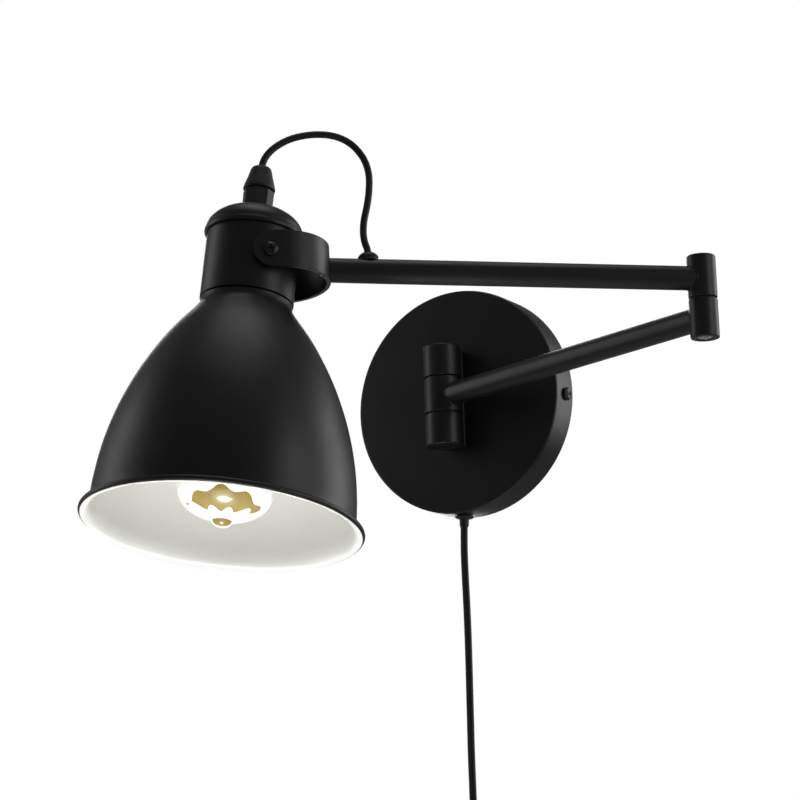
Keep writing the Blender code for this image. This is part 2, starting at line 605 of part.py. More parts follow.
def build_grommet(roll):
    """The domed grommet through the tube's top, where the lead comes out."""
    stem = GROMMET_RADIUS - 0.0020 - FIT
    skirt = TUBE_RADIUS - 0.0022
    crown = TUBE_RADIUS + GROMMET_HEIGHT
    profile = [(0.0, crown), (LEAD_DIAMETER / 2 + 0.0009, crown)]
    profile += [(0.0041, crown - 0.0009), (0.0055, crown - 0.0024), (GROMMET_RADIUS, crown - 0.0038)]
    profile += [(GROMMET_RADIUS, skirt + 0.0008), (stem, skirt + 0.0008)]
    profile += [(stem, TUBE_RADIUS - TUBE_WALL - 0.0009), (0.0, TUBE_RADIUS - TUBE_WALL - 0.0009)]
    grommet = turned("lead_grommet", profile, BLACK_PLASTIC, roll, (GROMMET_DISTANCE, 0, 0), segments=24)
    saddle = rod("grommet_saddle", TUBE_RADIUS + FIT, -0.03, 0.03, None, roll, (GROMMET_DISTANCE, 0, 0),
                 ALONG_X, 48)
    throat = rod("grommet_throat", stem - FIT, 0.0, crown - 0.002, None, roll, (GROMMET_DISTANCE, 0, 0),
                 segments=20)
    cut(saddle, throat)
    cut(grommet, saddle)
    return grommet


def build_bracket(roll):
    """The horseshoe strip round the lamp's neck: a flat outline bent round, with rounded ears."""
    outer = bracket_radius()
    middle = outer - BRACKET_THICKNESS / 2
    bend_x = HEAD_DISTANCE - BRACKET_BASE + outer
    pivot_x = HEAD_DISTANCE - TRUNNION_OFFSET
    path = [(pivot_x + BRACKET_WIDTH / 2 + 0.001, middle), (bend_x, middle)]
    steps = 16
    for i in range(1, steps):
        angle = math.pi / 2 + math.pi * i / steps
        path.append((bend_x + middle * math.cos(angle), middle * math.sin(angle)))
    path += [(bend_x, -middle), (pivot_x + BRACKET_WIDTH / 2 + 0.001, -middle)]
    mesh = bpy.data.meshes.new("horseshoe_bracket")
    half = BRACKET_WIDTH / 2
    points = [(x, y, z) for x, y in path for z in (-half, half)]
    faces = [(2 * i, 2 * i + 2, 2 * i + 3, 2 * i + 1) for i in range(len(path) - 1)]
    mesh.from_pydata(points, [], faces)
    bracket = bpy.data.objects.new("horseshoe_bracket", mesh)
    SCONCE.objects.link(bracket)
    adopt(bracket, "horseshoe_bracket", BLACK_PAINT, roll, (0, 0, 0), (0, 0, 0))
    strip = bracket.modifiers.new("strip", "SOLIDIFY")
    strip.thickness = BRACKET_THICKNESS
    strip.offset = 0.0
    strip.use_even_offset = True
    round_end = rod("ear_outline", half, -outer - 0.01, outer + 0.01, None, roll, (pivot_x, 0, 0), ALONG_Y,
                    32)
    keep = block("ear_body", (pivot_x - bend_x + 2 * outer + 0.01, 2 * outer + 0.02, BRACKET_WIDTH + 0.01),
                 ((pivot_x + bend_x - 2 * outer - 0.01) / 2, 0, 0), None, roll)
    join(keep, round_end)
    boolean(bracket, keep, "INTERSECT")
    cut(bracket, rod("ear_hole", TRUNNION_SHANK + FIT, -outer - 0.01, outer + 0.01, None, roll,
                     (pivot_x, 0, 0), ALONG_Y, 20))
    base = HEAD_DISTANCE - BRACKET_BASE
    cut(bracket, rod("base_hole", SCREW_SHANK + FIT, base - 0.01, base + 0.01, None, roll, (0, 0, 0),
                     ALONG_X, 16))
    inner = outer - BRACKET_THICKNESS
    washer_radius = 0.0047
    bridged = inner - math.sqrt(inner**2 - washer_radius**2)
    seat = base + BRACKET_THICKNESS + bridged + FIT
    teeth = 10
    washer = sleeve("toothed_washer", washer_radius, SCREW_SHANK + FIT, seat, seat + 0.0006, STEEL, roll,
                    (0, 0, 0), ALONG_X, 20)
    for i in range(teeth):
        angle = math.tau * i / teeth
        notch = block(f"washer_notch_{i}", (0.0020, 0.0012, 0.0009),
                      (seat, 0.0048 * math.cos(angle), 0.0048 * math.sin(angle)),
                      None, roll, (angle, 0, 0))
        cut(washer, notch)
    pan_head_screw("bracket_screw", BRACKET_SCREW_HEAD, SCREW_HEAD_HEIGHT, SCREW_SHANK,
                   BRACKET_SCREW_LENGTH, roll,
                   (seat + 0.0006 + FIT, 0, 0), ALONG_X)


# ---------------------------------------------------------------- lamp head
def build_neck(head):
    outer, inner = NECK_RADIUS, NECK_RADIUS - NECK_WALL
    profile = [(inner, NECK_TOP), (outer, NECK_TOP), (outer, NECK_BOTTOM + 0.0006)]
    profile += [(outer - 0.0006, NECK_BOTTOM), (inner, NECK_BOTTOM)]
    neck = turned("neck_housing", profile, BLACK_PAINT, head, segments=48, ring=True)
    cut(neck, rod("neck_trunnion_hole", TRUNNION_SHANK + FIT, -0.05, 0.05, None, head,
                  (-TRUNNION_OFFSET, 0, TRUNNION_RISE), ALONG_Y, 20))
    bead = CAP_RADIUS + 0.0003
    profile = [(NIPPLE_RADIUS + FIT, CAP_TOP)]
    rise = CAP_TOP - CAP_BEAD_TOP
    steps = 7
    for i in range(steps):
        angle = math.radians(76 - 74 * i / (steps - 1))
        profile.append((CAP_RADIUS * math.cos(angle), CAP_BEAD_TOP + rise * math.sin(angle)))
    profile += [(bead, CAP_BEAD_TOP), (bead, CAP_RIM + 0.0005), (bead - 0.0005, CAP_RIM)]
    inside = NECK_RADIUS + FIT
    profile += [(inside, CAP_RIM), (inside, CAP_BEAD_TOP + 0.001)]
    for i in range(steps - 1, -1, -1):
        angle = math.radians(76 - 68 * i / (steps - 1))
        profile.append(((CAP_RADIUS - CAP_WALL - 0.0004) * math.cos(angle),
                        CAP_BEAD_TOP + (rise - CAP_WALL) * math.sin(angle)))
    profile.append((NIPPLE_RADIUS + FIT, CAP_TOP - CAP_WALL))
    turned("neck_cap", profile, BLACK_PAINT, head, segments=36, ring=True)


def build_grip(head):
    """The two-part cord grip: a hexagonal body and a tapering collet, on a hollow nipple."""
    base = CAP_TOP + FIT
    body = rod("grip_body", GRIP_RADIUS, base, GRIP_SEAM, BLACK_PLASTIC, head, turn=(0, 0, math.radians(28)),
               segments=6, chamfer=0.0006)
    cut(body, rod("grip_body_bore", NIPPLE_RADIUS + FIT, 0.0, 0.1, None, head, segments=20))
    low = GRIP_SEAM + FIT
    profile = [(0.0, GRIP_TOP), (GRIP_TOP_RADIUS - 0.0008, GRIP_TOP), (GRIP_TOP_RADIUS, GRIP_TOP - 0.0008)]
    profile += [(0.0078, low + 0.0072), (0.0092, low + 0.0012), (0.0089, low), (0.0, low)]
    turned("grip_collet", profile, BLACK_PLASTIC, head, segments=24)
    sleeve("holder_nipple", NIPPLE_RADIUS, NIPPLE_BORE, HOLDER_TOP + FIT, GRIP_SEAM - FIT, STEEL, head,
           segments=20)


def build_holder(head):
    seat = SHADE_SEAT + FIT
    profile = [(0.0, HOLDER_TOP), (HOLDER_RADIUS * 0.55, HOLDER_TOP), (HOLDER_RADIUS, HOLDER_TOP - 0.006)]
    profile += [(HOLDER_RADIUS, seat + HOLDER_FLANGE_HEIGHT), (HOLDER_FLANGE, seat + HOLDER_FLANGE_HEIGHT)]
    profile += [(HOLDER_FLANGE, seat), (HOLDER_RADIUS, seat), (HOLDER_RADIUS, HOLDER_MOUTH + 0.0008)]
    profile += [(HOLDER_RADIUS - 0.0008, HOLDER_MOUTH), (HOLDER_BORE, HOLDER_MOUTH)]
    profile += [(HOLDER_BORE, HOLDER_FLOOR), (0.0, HOLDER_FLOOR)]
    turned("lamp_holder", profile, HOLDER_PLASTIC, head, segments=32)
    under = SHADE_SEAT - SHADE_WALL - FIT
    sleeve("shade_ring", SHADE_RING_RADIUS, HOLDER_RADIUS + FIT, under - SHADE_RING_HEIGHT, under,
           HOLDER_PLASTIC, head,
           segments=32, chamfer=0.0008)


def shade_outline():
    """The bell's outside from its collar down to its rolled rim, as (radius, height)."""
    shoulder = [(SHADE_COLLAR_RADIUS, SHADE_SEAT), (SHADE_COLLAR_RADIUS, -0.0250)]
    shoulder += [(0.0279, -0.0276), (0.0300, -0.0305), (0.0328, -0.0340)]
    bell = [(0.0368, -0.0390), (0.0419, -0.0460), (0.0476, -0.0550), (0.0537, -0.0660), (0.0594, -0.0780)]
    skirt = [(0.0648, -0.0920), (0.0694, -0.1070), (0.0726, -0.1220), (0.0746, -0.1380), (0.0753, -0.1520)]
    return shoulder + bell + skirt


def build_shade(head):
    outline = shade_outline()
    rim_top = SHADE_RIM_PLANE + 2 * SHADE_BEAD
    outside = [(SHADE_HOLE, SHADE_SEAT)] + outline
    flare = [(0.0762, rim_top + 0.0004), (0.0781, rim_top + 0.0001)]
    bead = arc(SHADE_RIM_RADIUS - SHADE_BEAD, SHADE_RIM_PLANE + SHADE_BEAD, SHADE_BEAD, 70, -90, 4)
    inside = [(0.0774, SHADE_RIM_PLANE + 0.0004), (0.0758, SHADE_RIM_PLANE + 0.0020)]
    for index in range(len(outline) - 1, -1, -2):
        radius, height = outline[index]
        if height > SHADE_SEAT - 0.0045:
            continue
        after = outline[min(index + 1, len(outline) - 1)]
        before = outline[index - 1]
        run = Vector((after[0] - before[0], after[1] - before[1])).normalized()
        inside.append((radius + run.y * SHADE_WALL, height - run.x * SHADE_WALL))
    inside.append((0.0262, SHADE_SEAT - SHADE_WALL - 0.0006))
    inside.append((0.0256, SHADE_SEAT - SHADE_WALL))
    inside.append((SHADE_HOLE, SHADE_SEAT - SHADE_WALL))
    turned("shade", outside + flare + bead + inside, BLACK_PAINT, head, segments=56, ring=True)


def build_bulb(head):
    top = HOLDER_FLOOR - 0.0008
    shoulder = HOLDER_MOUTH - 0.0008
    profile = [(0.0, top), (0.0045, top), (0.0095, top - 0.0040), (BULB_CAP_RADIUS, top - 0.0060)]
    profile += [(BULB_CAP_RADIUS, shoulder), (0.0, shoulder)]
    turned("bulb_cap", profile, BRASS, head, segments=24)
    start = shoulder - FIT
    outside = [(0.0128, start), (0.0150, start - 0.010), (0.0190, start - 0.026), (0.0232, start - 0.044)]
    outside += [(0.0260, start - 0.060), (BULB_RADIUS, BULB_WIDEST + 0.004), (BULB_RADIUS, BULB_WIDEST)]
    drop = BULB_WIDEST - BULB_BOTTOM
    steps = 6
    for i in range(1, steps):
        angle = math.radians(74 * i / (steps - 1))
        outside.append((BULB_RADIUS * math.cos(angle), BULB_WIDEST - drop * math.sin(angle)))
    tip = [(BULB_TIP_RADIUS, BULB_BOTTOM - 0.0002), (BULB_TIP_RADIUS * 0.86,
                                                     BULB_BOTTOM - 0.6 * BULB_TIP_DROP)]
    tip += [(BULB_TIP_RADIUS * 0.45, BULB_BOTTOM - 0.95 * BULB_TIP_DROP), (0.0, BULB_BOTTOM - BULB_TIP_DROP)]
    inside = [(0.0, BULB_BOTTOM + BULB_WALL)]
    for i in range(steps - 1, -1, -1):
        angle = math.radians(74 * i / (steps - 1))
        inside.append(((BULB_RADIUS - BULB_WALL) * math.cos(angle),
                       BULB_WIDEST - (drop - BULB_WALL) * math.sin(angle)))
    inside += [(radius - BULB_WALL, height) for radius, height in reversed(outside[:6])]
    turned("bulb_glass", outside + tip + inside, GLASS, head, segments=28, ring=True)
    rod("bulb_stem", 0.0035, BULB_WIDEST + 0.045, start - 0.0006, GLASS, head, segments=12)


def build_trunnions(head):
    """Screw and nut at each ear: the screws pass the ears freely and clamp into nuts inside the neck."""
    outer = bracket_radius()
    for side, name in ((1, "near"), (-1, "far")):
        turn = (-side * math.pi / 2, 0.0, 0.0)
        place = (-TRUNNION_OFFSET, side * (outer + FIT), TRUNNION_RISE)
        inner_end = TRUNNION_NUT_FACE - TRUNNION_NUT + FIT
        pan_head_screw(f"trunnion_screw_{name}", TRUNNION_HEAD, 0.0027, TRUNNION_SHANK, outer - inner_end,
                       head,
                       place, turn)
        nut = rod(f"trunnion_nut_{name}", 0.0040, TRUNNION_NUT_FACE - TRUNNION_NUT, TRUNNION_NUT_FACE, STEEL,
                  head, (-TRUNNION_OFFSET, 0, TRUNNION_RISE), turn, 6)
        cut(nut, rod(f"trunnion_nut_bore_{name}", TRUNNION_SHANK + FIT, 0.0, 0.05, None, head,
                     (-TRUNNION_OFFSET, 0, TRUNNION_RISE), turn, 16))


# ---------------------------------------------------------------- cords and what is on them
def build_lead(roll):
    route = [(x, 0.0, z) for x, z in LEAD_ROUTE]
    cord("jumper_lead", smooth_route(route, 2.4 * LEAD_DIAMETER), LEAD_DIAMETER, CORD_SHEATH, roll)


def build_switch(centre):
    """The in-line switch: two half shells, with the rocker in the front one."""
    half = SWITCH_THICKNESS / 2 - FIT / 2
    for side, name in ((-1, "switch_shell_front"), (1, "switch_shell_back")):
        shell = block(name, (SWITCH_WIDTH, half, SWITCH_LENGTH),
                      (centre[0], centre[1] + side * (half + FIT) / 2, centre[2]), BLACK_PLASTIC, None,
                      bevel=0.0022, bevel_steps=2)
        if side < 0:
            cut(shell, block("rocker_window", (ROCKER_WIDTH + 0.001, 2 * ROCKER_POCKET,
                                               ROCKER_LENGTH + 0.001),
                             (centre[0], centre[1] - SWITCH_THICKNESS / 2, centre[2]), None, None))
    pivot = empty("rocker_pivot", None, (centre[0], centre[1] - SWITCH_THICKNESS / 2 + ROCKER_SINK,
                                         centre[2]),
                  (ROCKER_REST, 0, 0))
    rocker = rod("switch_rocker", ROCKER_LENGTH / 2 - 0.0005, -ROCKER_WIDTH / 2, ROCKER_WIDTH / 2,
                 BLACK_PLASTIC,
                 pivot, (0, 0, 0), ALONG_X, 24)
    keep = block("rocker_outline", (ROCKER_WIDTH, ROCKER_DEPTH, ROCKER_LENGTH), (0, -0.0004, 0), None, pivot)
    boolean(rocker, keep, "INTERSECT")


def coil_centre():
    """The coil hangs centred under the switch, low enough for the cord to bend into its turns."""
    bend_top = CORD_ROUTE[-1][2] - SWITCH_LENGTH - 2 * FIT - COIL_LEAD_IN
    join = math.asin(COIL_ENTRY_BEND / (COIL_RADIUS + COIL_ENTRY_BEND))
    drop = COIL_RADIUS * math.cos(join) + COIL_ENTRY_BEND * math.cos(join)
    return Vector((CORD_ROUTE[-1][0], CORD_ROUTE[-1][1], bend_top - drop))


def coil_entry_route():
    """From the switch straight down and into the bend, as far as the outside of the bundled turns."""
    x, y, z = CORD_ROUTE[-1]
    top = z - SWITCH_LENGTH - 2 * FIT
    middle = coil_centre()
    route = [Vector((x, y, top)), Vector((x, y, top - COIL_LEAD_IN / 2))]
    steps = 24
    for i in range(steps):
        angle = math.radians(90) * i / steps
        point = Vector((x - COIL_ENTRY_BEND * (1 - math.cos(angle)), y,
                        top - COIL_LEAD_IN - COIL_ENTRY_BEND * math.sin(angle)))
        edge_tilt = CORD_DIAMETER / 2 * math.sin(angle)
        if (point - middle).length < COIL_RADIUS + COIL_BUNDLE + edge_tilt + FIT:
            break
        route.append(point)
    return route


def build_power_cord():
    cord("power_cord", smooth_route(CORD_ROUTE, 2.6 * CORD_DIAMETER), CORD_DIAMETER, CORD_SHEATH, None)
    end = Vector(CORD_ROUTE[-1])
    build_switch(end - Vector((0, 0, FIT + SWITCH_LENGTH / 2)))
    entry = smooth_route(coil_entry_route(), CORD_DIAMETER)
    cord("power_cord_middle", entry, CORD_DIAMETER, CORD_SHEATH, None)
    middle = coil_centre()
    profile = arc(COIL_RADIUS, 0.0, COIL_BUNDLE, 90, -240, 11)
    turned("power_cord_coil", profile, CORD_SHEATH, None, middle, ALONG_MINUS_Y, segments=32, ring=True)
    tie_place = middle + Vector((-COIL_RADIUS * math.sin(COIL_TIE_ANGLE), 0,
                                 COIL_RADIUS * math.cos(COIL_TIE_ANGLE)))
    sleeve("coil_tie", COIL_BUNDLE + COIL_TIE_ROOM + 0.0012, COIL_BUNDLE + COIL_TIE_ROOM, -0.004, 0.004,
           BLACK_PLASTIC, None, tie_place, (0.0, math.pi / 2 - COIL_TIE_ANGLE, 0.0), 24)
    outer = COIL_RADIUS + COIL_BUNDLE
    side_reach = math.sqrt(outer**2 - (COIL_RADIUS - CORD_DIAMETER / 2) ** 2)
    tail_top = middle + Vector((-COIL_RADIUS, 0, -side_reach - FIT))
    tail_end = tail_top - Vector((0, 0, TAIL_LENGTH))
    tail = smooth_route([tail_top, (tail_top + tail_end) / 2, tail_end], CORD_DIAMETER)
    cord("power_cord_tail", tail, CORD_DIAMETER, CORD_SHEATH, None)
    build_plug(tail_end - Vector((0, 0, FIT)))


def build_plug(top):
    """A flat two-pin plug, pins down."""
    middle = top - Vector((0, 0, PLUG_LENGTH / 2))
    body = block("plug_body", (PLUG_WIDTH, PLUG_THICKNESS, PLUG_LENGTH), middle, BLACK_PLASTIC, None,
                 bevel=0.0030, bevel_steps=2)
    foot = middle.z - PLUG_LENGTH / 2
    for side, name in ((-1, "plug_pin_left"), (1, "plug_pin_right")):
        place = (middle.x + side * PLUG_PIN_SPACING / 2, middle.y, foot)
        cut(body, rod(f"{name}_socket", PLUG_PIN_RADIUS + FIT, -0.01, 0.006, None, None, place, segments=16))
        rod(name, PLUG_PIN_RADIUS, -PLUG_PIN_LENGTH, 0.006 - FIT, BRASS, None, place, segments=16,
            chamfer=0.0006)


# ---------------------------------------------------------------- assembly
def build_sconce():
    turntable = empty("canopy_turn", None, (0, 0, 0), (0, -CANOPY_TURN, 0))
    build_mounting_bar(turntable)
    build_canopy(turntable)
    build_bush(turntable)
    build_canopy_inside()
    build_fork()
    wall_pivot = empty("wall_pivot", None, (0, -PIVOT_STANDOFF, 0), (0, 0, -INNER_ARM_SWING))
    build_inner_arm(wall_pivot)
    elbow_pivot = empty("elbow_pivot", wall_pivot, (INNER_ARM_LENGTH, 0, 0), (0, 0, math.pi + ELBOW_ANGLE))
    arm_roll = empty("arm_roll", elbow_pivot, (0, 0, ARM_RISE), (BRACKET_ROLL, 0, 0))
    build_outer_arm(elbow_pivot, arm_roll)
    build_grommet(arm_roll)
    build_bracket(arm_roll)
    build_lead(arm_roll)
    tilt_pivot = empty("tilt_pivot", arm_roll, (HEAD_DISTANCE - TRUNNION_OFFSET, 0, 0), (0, -HEAD_TILT, 0))
    head_axis = empty("head_axis", tilt_pivot, (TRUNNION_OFFSET, 0, -TRUNNION_RISE))
    build_neck(head_axis)
    build_grip(head_axis)
    build_holder(head_axis)
    build_shade(head_axis)
    build_bulb(head_axis)
    build_trunnions(head_axis)
    build_power_cord()


build_sconce()
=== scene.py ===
# %% [markdown]
# # A swing arm wall sconce, piece by piece
# The lamp hangs on a wall: a round canopy, a folding arm on two upright pivots, a horseshoe bracket and a
# bell shade that tilts in it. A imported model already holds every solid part, its joints and its collision.
# This script dresses that model: it makes the camera and the cords first, then the finishes, then each
# piece that deserves a finer shape than its solid has.

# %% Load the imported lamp
import json
import math

import bpy
from mathutils import Matrix, Vector


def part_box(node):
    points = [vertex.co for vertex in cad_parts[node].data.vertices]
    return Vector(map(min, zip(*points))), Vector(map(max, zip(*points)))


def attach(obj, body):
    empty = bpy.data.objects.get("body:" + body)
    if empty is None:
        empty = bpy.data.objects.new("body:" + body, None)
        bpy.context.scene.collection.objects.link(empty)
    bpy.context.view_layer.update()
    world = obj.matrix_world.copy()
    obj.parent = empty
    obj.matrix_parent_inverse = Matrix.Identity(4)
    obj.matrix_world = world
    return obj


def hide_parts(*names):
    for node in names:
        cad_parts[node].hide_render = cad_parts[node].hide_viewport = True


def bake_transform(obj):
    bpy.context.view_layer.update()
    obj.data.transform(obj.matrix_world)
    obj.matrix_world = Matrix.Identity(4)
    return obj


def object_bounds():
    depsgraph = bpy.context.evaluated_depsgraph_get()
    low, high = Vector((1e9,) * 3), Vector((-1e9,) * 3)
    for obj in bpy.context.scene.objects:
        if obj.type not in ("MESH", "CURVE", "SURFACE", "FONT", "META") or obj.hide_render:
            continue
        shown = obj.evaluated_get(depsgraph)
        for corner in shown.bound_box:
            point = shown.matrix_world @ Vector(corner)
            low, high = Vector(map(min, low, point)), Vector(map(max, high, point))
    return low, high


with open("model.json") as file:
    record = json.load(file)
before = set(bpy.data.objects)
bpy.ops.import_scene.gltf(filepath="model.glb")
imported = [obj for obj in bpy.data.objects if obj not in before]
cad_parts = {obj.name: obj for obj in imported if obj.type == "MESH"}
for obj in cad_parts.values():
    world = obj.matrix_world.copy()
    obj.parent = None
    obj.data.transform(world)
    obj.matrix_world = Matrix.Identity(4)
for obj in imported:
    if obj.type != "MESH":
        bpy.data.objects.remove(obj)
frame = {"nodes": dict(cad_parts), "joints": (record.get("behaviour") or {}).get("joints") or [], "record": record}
SOLID_BOX = [list(corner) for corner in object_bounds()]
JOINTS = {joint["name"]: joint for joint in frame["joints"]}
print("solid box, mm:", [[round(1000 * x) for x in corner] for corner in SOLID_BOX])

# %% [markdown]
# ## Where things are
# The wall is the plane Y = 0, the lamp stands out towards -Y and Z is up. Each moving part is easiest to
# draw in its own directions: along its arm, across it and up. The joints give those directions, so the
# pieces stay right if the solid model changes.


# %% The lamp's own directions
def directions(origin, along, up):
    """A matrix whose X runs along, whose Z is as near to up as it can be, and whose origin is given."""
    x = Vector(along).normalized()
    y = Vector(up).cross(x).normalized()
    z = x.cross(y)
    columns = Matrix((x, y, z)).transposed().to_4x4()
    return Matrix.Translation(Vector(origin)) @ columns


WALL_PIVOT = Vector(JOINTS["wall_swing"]["pos_m"])
ELBOW = Vector(JOINTS["elbow_swing"]["pos_m"])
TILT = Vector(JOINTS["head_tilt"]["pos_m"])
UP = Vector((0, 0, 1))
ALONG_OUTER = Vector((TILT.x - ELBOW.x, TILT.y - ELBOW.y, 0)).normalized()

INNER = directions(WALL_PIVOT, ELBOW - WALL_PIVOT, UP)
OUTER = directions((ELBOW.x, ELBOW.y, TILT.z), ALONG_OUTER, UP)
ACROSS = -Vector(JOINTS["head_tilt"]["axis"]).normalized()
BRACKET = directions((ELBOW.x, ELBOW.y, TILT.z), ALONG_OUTER, ALONG_OUTER.cross(ACROSS))
HEAD_LEAN = math.radians(8.2)
TRUNNION_OFFSET = 0.0070
TRUNNION_RISE = 0.0010
tilt_frame = Matrix.Translation(TILT) @ BRACKET.to_3x3().to_4x4() @ Matrix.Rotation(-HEAD_LEAN, 4, "Y")
HEAD = tilt_frame @ Matrix.Translation((TRUNNION_OFFSET, 0, -TRUNNION_RISE))
INNER_LENGTH = (ELBOW - WALL_PIVOT).length
TILT_REACH = (OUTER.inverted() @ TILT).x
HEAD_REACH = TILT_REACH + TRUNNION_OFFSET
CANOPY_TURN = math.radians(-2.7)
CANOPY = Matrix.Rotation(-CANOPY_TURN, 4, "Y")
print("inner arm, mm:", round(1000 * INNER_LENGTH, 1), " elbow to head, mm:", round(1000 * HEAD_REACH, 1))

# %% [markdown]
# ## Camera
# A long lens from below and to the right, a little rolled. Its place is given in metres and its aim as
# three turns: to the left, up and over.

# %% Camera
CAMERA_PLACE = Vector((0.9433, -1.7120, -0.4337))
TURN_LEFT = math.radians(30.280)
TURN_UP = math.radians(12.698)
ROLL = math.radians(-1.932)

lens = bpy.data.cameras.new("camera")
lens.sensor_width = 36.0
lens.lens = 135.0
lens.clip_start = 0.05
camera = bpy.data.objects.new("camera", lens)
bpy.context.scene.collection.objects.link(camera)
level = Matrix.Rotation(TURN_LEFT, 4, "Z") @ Matrix.Rotation(math.pi / 2 + TURN_UP, 4, "X")
camera.matrix_world = Matrix.Translation(CAMERA_PLACE) @ level @ Matrix.Rotation(ROLL, 4, "Z")
bpy.context.scene.camera = camera
print("camera at", [round(x, 3) for x in camera.matrix_world.translation])

# %% [markdown]
# ## Two small helpers for curves
# A cord is a smooth line through a few given points. A Catmull-Rom curve passes through each of
# them, and reading it at even steps gives rings of even length.


# %% A smooth line, read at even steps
def smooth_line(points, step):
    knots = [Vector(p) for p in points]
    knots = [2 * knots[0] - knots[1]] + knots + [2 * knots[-1] - knots[-2]]
    fine = []
    for a, b, c, d in zip(knots, knots[1:], knots[2:], knots[3:]):
        for k in range(12):
            t = k / 12
            line = 2 * b + (c - a) * t
            bend = (2 * a - 5 * b + 4 * c - d) * t * t
            fine.append(0.5 * (line + bend + (3 * b - a - 3 * c + d) * t**3))
    fine.append(knots[-2])
    travelled = [0.0]
    for a, b in zip(fine, fine[1:]):
        travelled.append(travelled[-1] + (b - a).length)
    count = max(2, round(travelled[-1] / step))
    even, j = [], 0
    for k in range(count + 1):
        wanted = travelled[-1] * k / count
        while j < len(fine) - 2 and travelled[j + 1] < wanted:
            j += 1
        share = (wanted - travelled[j]) / (travelled[j + 1] - travelled[j])
        even.append(fine[j].lerp(fine[j + 1], min(max(share, 0.0), 1.0)))
    return even


def length_of(line):
    return sum((b - a).length for a, b in zip(line, line[1:]))


# %% [markdown]
# ## Sweeping an outline along a line
# A flat twin flex isn't round: two cores lie side by side and the sheath follows them. So its outline is
# two overlapping circles, swept along the line. The sweep keeps the outline's wide side towards a given
# direction, which is how the flex bends on the real lamp.


def new_piece(name, points, faces, finishes, face_finish=None, smooth=35):
    """A mesh object with its finishes; smooth is the angle above which an edge stays sharp."""
    mesh = bpy.data.meshes.new(name)
    mesh.from_pydata([tuple(p) for p in points], [], faces)
    for finish in finishes:
        mesh.materials.append(finish)
    if face_finish:
        mesh.polygons.foreach_set("material_index", face_finish)
    mesh.shade_smooth()
    mesh.set_sharp_from_angle(angle=math.radians(smooth))
    piece = bpy.data.objects.new(name, mesh)
    bpy.context.scene.collection.objects.link(piece)
    return piece


def section_ring(name, sections, finish, smooth):
    """Joins closed sections of equal length into a ring."""
    count = len(sections[0])
    faces = []
    for k in range(len(sections)):
        n = (k + 1) % len(sections)
        for j in range(count):
            faces.append((count * k + j, count * k + (j + 1) % count, count * n + (j + 1) % count, count * n + j))
    return new_piece(name, [point for section in sections for point in section], faces, [finish], smooth=smooth)


BLOCK_FACES = ((0, 1, 3, 2), (4, 6, 7, 5), (0, 4, 5, 1), (2, 3, 7, 6), (0, 2, 6, 4), (1, 5, 7, 3))


def block_points(low, high):
    """The eight corners of a block, in the order that BLOCK_FACES joins them."""
    return [Vector((x, y, z)) for x in (low[0], high[0]) for y in (low[1], high[1]) for z in (low[2], high[2])]


def sweep(name, line, outline, wide, finish, smooth=50):
    """outline is (wide, thick) points round the line; wide(i) is the direction of the wide side at ring i."""
    points, faces = [], []
    count = len(outline)
    for i, place in enumerate(line):
        ahead = (line[min(i + 1, len(line) - 1)] - line[max(i - 1, 0)]).normalized()
        across = wide(i)
        across = (across - ahead * across.dot(ahead)).normalized()
        other = ahead.cross(across)
        points += [place + across * u + other * v for u, v in outline]
    for i in range(len(line) - 1):
        for k in range(count):
            a, b = i * count + k, i * count + (k + 1) % count
            faces.append((a, b, b + count, a + count))
    faces.append(tuple(range(count - 1, -1, -1)))
    faces.append(tuple(range((len(line) - 1) * count, len(line) * count)))
    return new_piece(name, points, faces, [finish], smooth=smooth)


def twin_flex_outline(width, thickness, steps=18):
    """Two circles side by side, seen from their common centre."""
    core = thickness / 2
    apart = (width - thickness) / 2
    outline = []
    for k in range(steps):
        angle = math.tau * k / steps
        reach = abs(apart * math.cos(angle)) + math.sqrt(core**2 - (apart * math.sin(angle)) ** 2)
        outline.append((reach * math.cos(angle), reach * math.sin(angle)))
    return outline


# %% [markdown]
# ## Finishes
# Nearly everything is one satin black powder coat. Powder melts into a skin with a fine orange peel, and
# its gloss changes a little from place to place. Both come from one node group that is used, with its own
# values, in every finish: one output is the height of the grain, the other a slow cloudy mask. Three short
# helpers add a node and fill its inputs in one line.


# %% The grain group
def set_inputs(tree, node, **values):
    """Sets a node's inputs by name, with _ for a space; a value is a constant or another node's output."""
    for label, value in values.items():
        socket = node.inputs[label.replace("_", " ")]
        if isinstance(value, bpy.types.NodeSocket):
            tree.links.new(value, socket)
        else:
            socket.default_value = value


def add_node(tree, kind, **values):
    node = tree.nodes.new("ShaderNode" + kind)
    if kind == "Mix":
        node.data_type = "RGBA"
    set_inputs(tree, node, **values)
    return node


def math_node(tree, operation, *values):
    node = add_node(tree, "Math")
    node.operation = operation
    for socket, value in zip(node.inputs, values):
        if isinstance(value, bpy.types.NodeSocket):
            tree.links.new(value, socket)
        else:
            socket.default_value = value
    return node.outputs[0]


